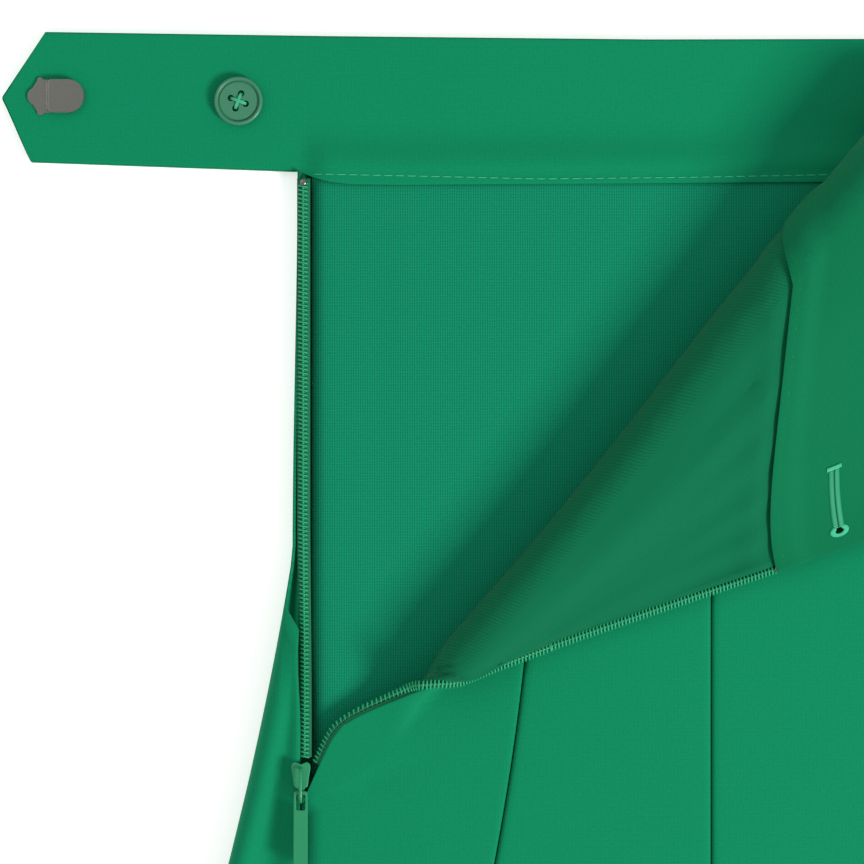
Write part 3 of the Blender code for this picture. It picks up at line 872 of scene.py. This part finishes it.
    def facing_height(self, x: float, y: float, up: float) -> float:
        """Height of the facing: flat on the band, rising over the lining at its lower lip."""
        open_side = smooth(at(300.0, 0.0)[0], at(330.0, 0.0)[0], x)
        rise = 2.55 * smooth(16.0, 5.5, up) * open_side
        groove = 0.28 * bump(up, 3.0, 1.6) * open_side
        ripples = 0.0
        for centre, width, depth in ((-150.0, 16.0, 0.25), (-112.0, 20.0, -0.22),
                                     (-76.0, 15.0, 0.25), (-44.0, 18.0, -0.2), (30.0, 25.0, 0.2)):
            ripples += depth * bump(x + (y - 180.0) * 0.35, centre, width)
        ripples *= 0.35 + 0.65 * smooth(38.0, 8.0, up)
        return self.band_wall + 0.30 + rise - groove + ripples + 0.12

    def facing(self) -> None:
        """Inner ply of the band and tab, stitched down over the lining's top edge."""
        rows = self.band_rows(0.35, self.facing_height, lip=True)
        bm = lattice(rows)
        keep_cut(bm)
        obj = piece("back_band_facing", bm, self.finishes.facing)
        wall(obj, 0.55)
        edge_round(obj, 0.2, 2, 60.0)

    def stitches(self) -> None:
        """Row of machine stitches that holds the facing down, and its shallow puckers."""
        line = ((311.0, 173.5), (400.0, 175.4), (539.0, 178.6), (700.0, 177.0), (829.0, 174.6),
                (1535.0, 174.0))
        bm = bmesh.new()
        x = at(313.0, 0.0)[0]
        while x < CUT.half_waist - 4.0:
            ends = []
            for px in (x, x + STITCH_PITCH - STITCH_GAP):
                u = px / PX + VIEW_U
                _, y = at(u, along(line, u))
                _, low = at(u, self.lower_edge(u))
                ends.append(Vector((px, y, self.facing_height(px, y, y - low - 0.35) + 0.36)))
            thread(bm, ends[0], ends[1], STITCH_RADIUS)
            x += STITCH_PITCH
        piece("back_band_stitches", bm, self.finishes.thread)

    def build(self) -> None:
        """Build every piece of the back."""
        self.panel()
        self.lining()
        self.band()
        self.facing()
        self.stitches()


@dataclass
class Front:
    """The skirt's front, its upper left corner turned over to show the inside."""

    finishes: Finishes
    panel_offset: float = -0.5
    lining_offset: float = -5.1
    band_offset: float = -3.0
    lining_edge: float = 4.8
    lining_hem: float = 45.0
    hole: tuple[float, float, float] = (-180.0, -175.0, -141.0)

    def relief(self, x: float, y: float) -> float:
        """Soft unevenness of the front, strongest where it was folded and beside the zip."""
        r, angle = CORNER.polar(x, y)
        wave = math.sin(x * 0.021 + 0.7) * 0.18 + math.sin(y * 0.03 + x * 0.01) * 0.15
        low = smooth(30.0, -20.0, y)
        crease = -0.5 * bump(math.degrees(angle), 20.0, 8.0) * bump(r, 22.0, 26.0)
        seam = -1.15 * smooth(5.0, 0.0, CUT.front_waist(x) - y)
        return min(wave * low + crease, 0.25) + seam

    def flap_relief(self, x: float, y: float) -> float:
        """Soft valleys and ridges of the lining on the turned corner, outwards negative."""
        over = CORNER.turned(x, y)
        r, angle = CORNER.polar(x, y)
        up = CUT.front_waist(x) - y
        degrees = math.degrees(angle)
        valley = 0.9 * bump(degrees, 71.0, 12.0) * bump(r, 118.0, 75.0)
        ridge = -0.9 * bump(degrees, 62.0, 8.0) * bump(r, 140.0, 80.0)
        by_band = 0.9 * bump(up, 3.0, 7.0) - 0.7 * bump(up, 11.0, 8.0)
        pull = 0.35 * math.sin(degrees * 0.9) * bump(up, 20.0, 34.0)
        return over * (valley + ridge + by_band + pull)

    def lining_depth(self, x: float, y: float) -> float:
        """Offset of the lining, which draws near the outer cloth where the zip holds it."""
        r, angle = CORNER.polar(x, y)
        if y <= CORNER.apex_y or r < 1.0:
            return self.lining_offset
        near = smooth(math.radians(79.0), math.radians(88.0), angle)
        below_band = smooth(CUT.front_waist(x) - 8.0, CUT.front_waist(x) - 40.0, y)
        by_apex = 1.0 - smooth(54.0, 70.0, r)
        return self.lining_offset + 2.3 * max(near * below_band, by_apex)

    def panel(self) -> None:
        """Pleated outer cloth."""
        rows: list[Row] = []
        wide = CUT.seam_x() - CUT.seam
        for t in spread(0.0, 1.0, 56):
            row = []
            for x, depth in CUT.panel(-wide, wide, t):
                y = mix(CUT.front_waist(x) - 0.1, CUT.hem_y(x), t)
                row.append((x, y, depth + self.panel_offset))
            rows.append(row)
        bm = lattice(rows)
        cut_folds(bm)
        keep_cut(bm)
        carry(bm, self.relief)
        obj = piece("front_panel_cloth", bm, self.finishes.outer,
                    replaces=["front_panel"])
        wall(obj, 0.75)

    def lining(self) -> None:
        """Plain knit lining, which faces up on the turned corner."""
        rows: list[Row] = []
        wide = CUT.half_waist - self.lining_edge
        for t in spread(0.0, 1.0, 72):
            row = []
            for x in spread(-wide, wide, 84):
                y = mix(CUT.front_waist(x) - CUT.seam, self.lining_hem + CUT.hem_y(x), t)
                row.append((x, y, 0.0))
            rows.append(row)
        bm = lattice(rows)
        cut_folds(bm)
        keep_cut(bm)
        carry(bm, lambda x, y: self.lining_depth(x, y) + self.flap_relief(x, y))
        # Its finish is the lining knit darkened as painted shade.
        obj = piece("front_lining_cloth", bm, self.finishes.front_lining,
                    replaces=["front_lining"])
        wall(obj, 0.6)

    def slot_limit(self, x: float) -> float:
        """Half height of the buttonhole's opening at x, zero outside it."""
        end, eye, far = self.hole
        if end < x < eye:
            middle = (end + eye) / 2.0
            return 1.9 * math.sqrt(max(1.0 - ((x - middle) / (eye - middle)) ** 2, 0.0))
        return 0.42 if eye <= x < far else 0.0

    def with_hole(self, columns: list[float], shares: Sequence[float], low: Callable,
                  offset: Callable) -> tuple[bmesh.types.BMesh, list[Row]]:
        """Flat band with the keyhole opening cut out.

        Args:
            columns: x of each column.
            shares: share of each row from the lower edge up.
            low: lower edge by x.
            offset: offset by (x, distance above the band's seam).

        Returns:
            The mesh and its rows.
        """
        rows: list[Row] = []
        for share in reversed(shares):
            row = []
            for x in columns:
                y = mix(low(x), CUT.front_waist(x) + 0.3 + CUT.band, share)
                row.append((x, y, offset(x, y - CUT.front_waist(x))))
            rows.append(row)
        bm = lattice(rows)
        gone = []
        for face in bm.faces:
            spot = face.calc_center_median()
            middle = CUT.front_waist(spot.x) + CUT.band / 2.0
            if abs(spot.y - middle) < self.slot_limit(spot.x):
                gone.append(face)
        bmesh.ops.delete(bm, geom=gone, context="FACES")
        return bm, rows

    def columns(self, right: float, count: int) -> list[float]:
        """Columns of the band, close together at the buttonhole."""
        end, eye, far = self.hole
        near = [-CUT.half_waist, -187.5, -184.5] + spread(end, eye, 9)
        return near + spread(eye + 0.8, far, 16) + spread(far + 4.0, right, count)

    def rows_across(self) -> list[float]:
        """Shares of the band's height, close together at the buttonhole."""
        middle = spread(0.5 - 2.2 / CUT.band, 0.5 + 2.2 / CUT.band, 12)
        return spread(0.0, 0.4, 9) + middle + spread(0.6, 1.0, 9)

    def band(self) -> None:
        """Outer ply of the band."""
        bm, rows = self.with_hole(self.columns(CUT.half_waist, 64), self.rows_across(),
                                  lambda x: CUT.front_waist(x) + 0.3,
                                  lambda x, up: self.band_offset)
        cut_folds(bm)
        keep_cut(bm)
        carry(bm)
        obj = piece("front_band_cloth", bm, self.finishes.outer,
                    replaces=["front_band"])
        wall(obj, 2.2)
        edge_round(obj, 0.7, 3, 60.0)

    def side_turn(self) -> None:
        """Turn of the waistband round the closed side, from the back band to the front band."""
        low, high = 1.5, CUT.top + self.band_offset
        radius = (high - low) / 2.0
        rows: list[Row] = []
        for y in spread(CUT.waist_top, CUT.waist_top - CUT.band, 12):
            rows.append([(CUT.half_waist - 0.2 + radius * math.sin(a), y,
                          low + radius * (1.0 - math.cos(a))) for a in spread(0.0, math.pi, 16)])
        bm = lattice(rows)
        keep_cut(bm)
        obj = piece("band_side_turn", bm, self.finishes.outer)
        wall(obj, 1.0)

    def facing_offset(self, x: float, up: float) -> float:
        """Offset of the facing, which drops over the lining at its lower lip."""
        lip = 1.65 * smooth(9.0, 1.5, up) * smooth(5.0, -25.0, x)
        groove = 0.3 * bump(up, -1.2, 1.5)
        soft = 0.3 * math.sin(x * 0.12 + up * 0.06) * smooth(2.0, 14.0, up)
        return self.band_offset - 1.1 - 0.42 - lip + groove + soft * 0.5

    def facing(self) -> None:
        """Inner ply of the band, which runs on along the waist inside the front."""
        bm, _ = self.with_hole(self.columns(CUT.half_waist - 3.0, 64), self.rows_across(),
                               lambda x: CUT.front_waist(x) - 4.6, self.facing_offset)
        keep_cut(bm)
        length, width, area = flat_cut(bm)
        cut_folds(bm)
        carry(bm)
        # Its finish is the facing weave darkened as painted shade.
        obj = piece("front_band_facing", bm, self.finishes.front_facing_painted_shade)
        wall(obj, 0.5)
        edge_round(obj, 0.18, 2, 60.0)

    def stitches(self) -> None:
        """Machine stitches along the facing's lower lip, where the corner is turned."""
        bm = bmesh.new()
        x = -185.0
        while x < -20.0:
            ends = []
            for px in (x, x + STITCH_PITCH - STITCH_GAP):
                y = CUT.front_waist(px) - 1.2
                if CORNER.turned(px, y) < 0.5:
                    ends = []
                    break
                ends.append(CORNER.place(px, y, self.facing_offset(px, -1.2) - 0.34))
            if ends:
                thread(bm, ends[0], ends[1], STITCH_RADIUS)
            x += STITCH_PITCH
        piece("front_band_stitches", bm, self.finishes.thread)

    def buttonhole(self) -> None:
        """Close zigzag of thread round the keyhole, with a bar across its far end."""
        end, eye, far = self.hole
        middle_x = (end + eye) / 2.0
        outline: list[tuple[float, float, float]] = []
        for x in spread(far - 0.3, eye, 34):
            outline.append((x, 0.42, 90.0))
        for angle in spread(40.0, 320.0, 30):
            a = math.radians(angle)
            outline.append((middle_x + 2.0 * math.cos(a), 1.9 * math.sin(a), angle))
        for x in spread(eye, far - 0.3, 34):
            outline.append((x, -0.42, 270.0))
        bm = bmesh.new()
        for x, side, angle in outline:
            a = math.radians(angle)
            ends = []
            for reach in (-0.15, 1.45):
                px, py = x + reach * math.cos(a), side + reach * math.sin(a)
                up = CUT.band / 2.0 + py
                lift = self.facing_offset(px, up) - 0.42 - (0.12 if reach < 0 else 0.0)
                ends.append(CORNER.place(px, CUT.front_waist(px) + up, lift))
            thread(bm, ends[0], ends[1], 0.24)
        for side in spread(-2.6, 2.6, 12):
            ends = []
            for px in (far - 0.2, far + 1.5):
                up = CUT.band / 2.0 + side
                ends.append(CORNER.place(px, CUT.front_waist(px) + up,
                                         self.facing_offset(px, up) - 0.5))
            thread(bm, ends[0], ends[1], 0.26)
        piece("buttonhole_thread", bm, self.finishes.thread)

    def build(self) -> None:
        """Build every piece of the front."""
        self.panel()
        self.lining()
        self.band()
        self.side_turn()
        self.facing()
        self.stitches()
        self.buttonhole()


# ---------------------------------------------------------------- zip

@dataclass
class SideZip:
    """The open coil zip: two tapes with their coils, the slider, its pull tab and top stops."""

    finishes: Finishes
    pitch: float = 1.3
    half_wide: float = 1.35
    half_tall: float = 0.55
    wire: float = 0.3
    tape_wide: float = 12.0
    shown_wide: float = 4.0
    low: float = -21.0
    front_low: float = -22.0
    slider_x: float = at(301.5, 0.0)[0]
    hinge: tuple[float, float] = (-31.5, 13.55)
    floor: float = CUT.top + 0.35
    tilt: float = math.radians(-4.0)

    def back_spot(self, y: float, side: float, rise: float) -> Vector:
        """Place on the back half: side across the tape, rise above its middle."""
        x = mix(-187.6, -188.15, smooth(-20.0, 60.0, y))
        z = mix(9.9, 6.3, smooth(-24.0, 18.0, y))
        return Vector((x + side, y, z + rise))

    def front_spot(self, y: float, side: float, rise: float) -> Vector:
        """Place on the front half, which follows the turned corner's edge."""
        inside = smooth(30.0, 62.0, y - CORNER.apex_y)
        depth = mix(-1.6, -2.9, inside) - rise
        across = CORNER.place(-186.5, y, depth) - CORNER.place(-188.3, y, depth)
        side -= mix(1.6, 0.2, inside)
        return CORNER.place(-187.4, y, depth) + across.normalized() * side

    def front_coil_spot(self, y: float, side: float, rise: float) -> Vector:
        """Place on the front coil, which shows its width from above all along."""
        on = Vector((0.0, 0.0, 1.0))
        way = self.front_spot(y + 1.0, 0.0, 0.0) - self.front_spot(y - 1.0, 0.0, 0.0)
        return self.front_spot(y, 0.0, 0.0) + way.cross(on).normalized() * side + on * rise

    def coil(self, name: str, spot: Callable[[float, float, float], Vector], low: float,
             high: float) -> None:
        """One coil: a wire wound round its cord, pressed flat.

        Args:
            name: the piece's name.
            spot: place by (y, side, rise).
            low: y where it starts.
            high: y where it ends.
        """
        bm = bmesh.new()
        steps = 8
        turns = int((high - low) / self.pitch)
        path = []
        for i in range(turns * steps + 1):
            a = 2.0 * math.pi * i / steps
            y = low + self.pitch * i / steps
            path.append(spot(y, self.half_wide * math.cos(a), self.half_tall * math.sin(a)))
        tube(bm, path, self.wire, 5)
        cord = [spot(y, 0.0, 0.0) for y in spread(low, high, 90)]
        tube(bm, cord, 0.42, 6)
        piece(name, bm, self.finishes.coil)

    def tape(self, name: str, spot: Callable[[float, float, float], Vector], low: float,
             high: float, node_name: str, first: float) -> None:
        """Woven tape behind one coil.

        Args:
            name: the piece's name.
            spot: place by (y, side, rise).
            low: y where it starts.
            high: y where it ends.
            node_name: the CAD node it stands for.
            first: side where the tape begins.
        """
        rows = []
        for side in spread(first, first + self.shown_wide, 5):
            rows.append([tuple(spot(y, side, -0.95)) for y in spread(low, high, 100)])
        bm = lattice(rows)
        keep_cut(bm)
        obj = piece(name, bm, self.finishes.tape, replaces=[node_name])
        wall(obj, 0.4)

    def slider(self) -> None:
        """Slider: a shouldered top plate with a nose, and a bridge for the tab."""
        x, low = self.slider_x, self.floor
        outline = [(x - 0.95, -34.6), (x + 0.95, -34.6), (x + 1.0, -30.4), (x + 2.1, -29.6)]
        outline += [(x + 2.45, -27.0), (x + 2.9, -24.2)] + arc(x + 1.7, -23.4, 1.2, 0, 90, 4)
        outline += [(x, -22.9)] + arc(x - 1.7, -23.4, 1.2, 90, 180, 4)
        outline += [(x - 2.9, -24.2), (x - 2.45, -27.0), (x - 2.1, -29.6), (x - 1.0, -30.4)]
        bm = prism(outline, low, low + 1.1)
        obj = piece("zip_slider_body", bm, self.finishes.paint,
                    replaces=["zip_slider"], flat=True)
        edge_round(obj, 0.3, 3)
        bm = bmesh.new()
        crown = low + 3.45
        path = [Vector((x, y, z)) for y, z in (
            (-24.0, low + 0.8), (-24.2, crown - 1.0), (-24.7, crown - 0.35), (-25.8, crown),
            (-28.5, crown + 0.15), (-31.5, crown + 0.1), (-33.2, crown - 0.15),
            (-34.0, crown - 0.7), (-34.25, crown - 1.4), (-34.2, low + 0.8))]
        tube(bm, path, 0.5, 10)
        piece("zip_slider_bridge", bm, self.finishes.paint)

    def tab(self) -> None:
        """Pull tab: a flat tongue with a window, hung on its cross bar."""
        place = Matrix.Translation(Vector((self.slider_x, *self.hinge)))
        turn = place @ Matrix.Rotation(self.tilt, 4, "X")
        length, half, thick = 23.0, 2.15, 0.5
        outline = arc(half - 0.7, -0.1, 0.65, 0, 90, 4) + arc(-half + 0.7, -0.1, 0.65, 90, 180, 4)
        outline += [(-half, -6.5)] + arc(-half + 1.6, -length + 1.6, 1.6, 180, 270, 6)
        outline += arc(half - 1.6, -length + 1.6, 1.6, 270, 360, 6) + [(half, -6.5)]
        bm = prism(outline, -thick, thick)
        window = arc(0.85, -1.05, 0.5, 0, 90, 3) + arc(-0.85, -1.05, 0.5, 90, 180, 3)
        window += arc(-0.85, -4.7, 0.5, 180, 270, 3) + arc(0.85, -4.7, 0.5, 270, 360, 3)
        obj = piece("pull_tab_plate", bm, self.finishes.paint, Body.PULL_TAB,
                    ["pull_tab"], flat=True)
        hole = place_mesh("window", prism(window, -3.0, 3.0), False)
        subtract(obj, hole)
        edge_round(obj, 0.22, 3)
        settle(obj, hole)
        obj.data.transform(Matrix.Scale(MM, 4) @ turn @ Matrix.Scale(1.0 / MM, 4))

    def stop(self, name: str, spot: Callable[[float, float, float], Vector], y: float,
             node_name: str) -> None:
        """Metal top stop: a small clamp bent over the coil's last turns."""
        bm = bmesh.new()
        bmesh.ops.create_cube(bm, size=1.0)
        bmesh.ops.subdivide_edges(bm, edges=bm.edges[:], cuts=2, use_grid_fill=True)
        for vert in bm.verts:
            sx, sy, sz = vert.co * 2.0
            round_off = 1.0 - 0.18 * (abs(sx) ** 3 + abs(sy) ** 3)
            vert.co = spot(y + sy * 1.2 * round_off, sx * 1.15 * round_off,
                           0.55 + sz * 0.75 * round_off)
        bmesh.ops.recalc_face_normals(bm, faces=bm.faces)
        obj = piece(name, bm, self.finishes.steel, replaces=[node_name])
        edge_round(obj, 0.15, 2)

    def build(self) -> None:
        """Build every piece of the zip."""
        back_high = CUT.waist_top - CUT.band - 2.5
        front_high = CUT.front_waist(-CUT.half_waist) - 3.0
        self.tape("zip_tape_back_cloth", self.back_spot, self.low, back_high, "zip_tape_back",
                  -1.9)
        self.coil("zip_coil_back", self.back_spot, self.low, back_high - 1.0)
        self.tape("zip_tape_front_cloth", self.front_spot, self.front_low, front_high,
                  "zip_tape_front", 0.3)
        self.coil("zip_coil_front", self.front_coil_spot, self.front_low, front_high - 1.0)
        self.slider()
        self.tab()
        self.stop("top_stop_back_clamp", self.back_spot, back_high - 1.2, "top_stop_back")
        self.stop("top_stop_front_clamp", self.front_spot, front_high - 1.2, "top_stop_front")


# ---------------------------------------------------------------- fastenings

@dataclass
class Fastenings:
    """The button and the trouser hook on the tab's inner side."""

    finishes: Finishes
    low: float = 3.0 + 0.72

    def button(self) -> None:
        """Four-hole button: a ring round a sunken face, sewn on with crossed thread."""
        x, y = at(238.0, 100.4)
        profile = [(0.0, 1.75), (3.5, 1.75), (5.3, 1.85), (5.75, 1.8), (5.95, 1.55), (6.1, 1.5),
                   (6.2, 1.6), (6.35, 2.2), (6.6, 2.45), (6.95, 2.5), (7.25, 2.35), (7.45, 2.0),
                   (7.5, 1.55), (7.3, 0.95), (6.7, 0.35), (5.9, 0.05), (0.0, 0.0)]
        bm = bmesh.new()
        verts = [bm.verts.new((r, 0.0, z)) for r, z in profile]
        for a, b in zip(verts, verts[1:]):
            bm.edges.new((a, b))
        bmesh.ops.spin(bm, geom=bm.edges[:] + bm.verts[:], angle=2.0 * math.pi, steps=72,
                       axis=Vector((0.0, 0.0, 1.0)), use_merge=True)
        bmesh.ops.remove_doubles(bm, verts=bm.verts, dist=0.001)
        bmesh.ops.recalc_face_normals(bm, faces=bm.faces)
        bmesh.ops.translate(bm, vec=Vector((x, y, self.low)), verts=bm.verts)
        obj = piece("button_disc", bm, self.finishes.resin, replaces=["button"])
        holes = []
        for i in range(4):
            a = math.radians(69.0 + 90.0 * i)
            holes.append(Vector((x + 2.45 * math.cos(a), y + 2.45 * math.sin(a), self.low)))
            bm = bmesh.new()
            bmesh.ops.create_cone(bm, cap_ends=True, segments=20, radius1=1.0, radius2=1.0,
                                  depth=9.0, matrix=Matrix.Translation(holes[-1]))
            drill = place_mesh("drill", bm, True)
            subtract(obj, drill)
            settle(obj, drill)
        obj.data.set_sharp_from_angle(angle=math.radians(40.0))
        bm = bmesh.new()
        top = self.low + 1.9
        for a, b in ((0, 2), (1, 3)):
            for side in (-0.3, 0.0, 0.3):
                line = holes[b] - holes[a]
                across = line.cross(Vector((0.0, 0.0, 1.0))).normalized() * side
                start, end = holes[a] + across, holes[b] + across
                crown = top + (0.22 if a else 0.05) + 0.1
                path = [Vector((*start.xy, self.low - 0.1)), Vector((*start.xy, top - 0.3))]
                path += [Vector((*start.lerp(end, s).xy, crown + 0.25 * (1 - abs(2 * s - 1))))
                         for s in (0.14, 0.4, 0.6, 0.86)]
                path += [Vector((*end.xy, top - 0.3)), Vector((*end.xy, self.low - 0.1))]
                tube(bm, path, 0.17, 6)
        piece("button_thread", bm, self.finishes.thread)

    def hook(self) -> None:
        """Trouser hook: lobed base plate, and a tongue folded over it."""
        left, middle = at(26.3, 95.5)
        fold = at(48.0, 0.0)[0]
        right = at(83.9, 0.0)[0]
        low, sheet, r = self.low, 0.75, 5.15
        base = arc(left + 2.9, middle, 2.9, 115.0, 245.0, 8)
        base += [(left + 2.9, middle - 4.6)] + arc(left + 4.0, middle - 4.9, 1.0, 200, 340, 5)
        base += [(fold + 5.0, middle - 4.8), (fold + 5.0, middle + 4.8)]
        base += arc(left + 4.0, middle + 4.9, 1.0, 20, 160, 5) + [(left + 2.9, middle + 4.6)]
        obj = piece("hook_base", prism(base, low, low + sheet), self.finishes.steel,
                    replaces=["hook"], flat=True)
        edge_round(obj, 0.2, 3)
        high = low + sheet + 0.75
        tongue = arc(right - r, middle, r, -90.0, 90.0, 20)
        tongue += [(fold + 0.6, middle + r), (fold - 0.2, middle + r - 0.5)]
        tongue += [(fold - 0.2, middle - r + 0.5), (fold + 0.6, middle - r)]
        obj = piece("hook_tongue", prism(tongue, high, high + sheet), self.finishes.steel,
                    flat=True)
        edge_round(obj, 0.28, 3)
        riser = [(fold - 0.9, middle - 4.4), (fold + 0.7, middle - 4.7),
                 (fold + 0.7, middle + 4.7), (fold - 0.9, middle + 4.4)]
        obj = piece("hook_fold", prism(riser, low + 0.3, high + 0.35), self.finishes.steel,
                    flat=True)
        edge_round(obj, 0.4, 3)

    def build(self) -> None:
        """Build the fastenings and dress the bar that stays a CAD node."""
        self.button()
        self.hook()
        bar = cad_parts["hook_bar"]
        bar.data.materials.clear()
        bar.data.materials.append(self.finishes.steel)


# ---------------------------------------------------------------- studio

@dataclass
class Studio:
    """Pale table, soft lights and a camera straight above, as in the photograph."""

    centre: tuple[float, float] = at(432.0, 432.0)
    frame_mm: float = 864 * PX
    lens: float = 150.0
    sensor: float = 36.0
    plane: float = 7.0

    def floor(self) -> None:
        """Plain white table top."""
        bm = bmesh.new()
        bmesh.ops.create_grid(bm, x_segments=1, y_segments=1, size=2.5)
        mesh = bpy.data.meshes.new("table")
        bm.to_mesh(mesh)
        bm.free()
        obj = bpy.data.objects.new("table", mesh)
        bpy.context.scene.collection.objects.link(obj)
        mat = Solid("matt_white_board", "#FBFBFA", 0.9, grain_mm=3.0, grain_share=0.01).make()
        shader = mat.node_tree.nodes["Principled BSDF"]
        shader.inputs["Emission Color"].default_value = (1.0, 1.0, 1.0, 1.0)
        shader.inputs["Emission Strength"].default_value = 0.5
        mesh.materials.append(mat)
        obj.location.z = -0.0004

    def light(self, name: str, place: tuple[float, float, float], size: float,
              power: float) -> None:
        """Add one soft area light aimed at the skirt.

        Args:
            name: the light's name.
            place: where it hangs, in metres.
            size: its side, in metres.
            power: its power in watts.
        """
        lamp = bpy.data.lights.new(name, "AREA")
        lamp.size = size
        lamp.energy = power
        obj = bpy.data.objects.new(name, lamp)
        aim = Vector((self.centre[0] * MM, self.centre[1] * MM, 0.0))
        obj.location = Vector(place)
        obj.rotation_euler = (aim - obj.location).to_track_quat("-Z", "Y").to_euler()
        bpy.context.scene.collection.objects.link(obj)

    def camera(self) -> None:
        """Camera above the photograph's middle, looking straight down."""
        data = bpy.data.cameras.new("camera")
        data.lens = self.lens
        data.sensor_width = self.sensor
        obj = bpy.data.objects.new("camera", data)
        height = self.frame_mm * self.lens / self.sensor + self.plane
        obj.location = (self.centre[0] * MM, self.centre[1] * MM, height * MM)
        bpy.context.scene.collection.objects.link(obj)
        bpy.context.scene.camera = obj

    def build(self) -> None:
        """Set up the floor, the lights and the camera."""
        self.camera()
        self.floor()
        world = bpy.data.worlds.new("studio")
        world.use_nodes = True
        world.node_tree.nodes["Background"].inputs["Color"].default_value = (1.0, 1.0, 1.0, 1.0)
        world.node_tree.nodes["Background"].inputs["Strength"].default_value = 0.52
        bpy.context.scene.world = world
        bpy.context.scene.view_settings.view_transform = "Standard"
        self.light("key", (0.95, -0.65, 1.05), 0.5, 24.0)
        self.light("fill", (-1.0, 0.7, 1.5), 1.2, 3.0)


def main() -> None:
    """Build the skirt piece by piece and set it in the studio."""
    logging.basicConfig(level=logging.INFO, format="%(message)s")
    Studio().build()
    finishes = Finishes()
    for part in (Back(finishes), Front(finishes), SideZip(finishes), Fastenings(finishes)):
        LOG.info("building %s", type(part).__name__)
        part.build()


if __name__ == "__main__":
    main()
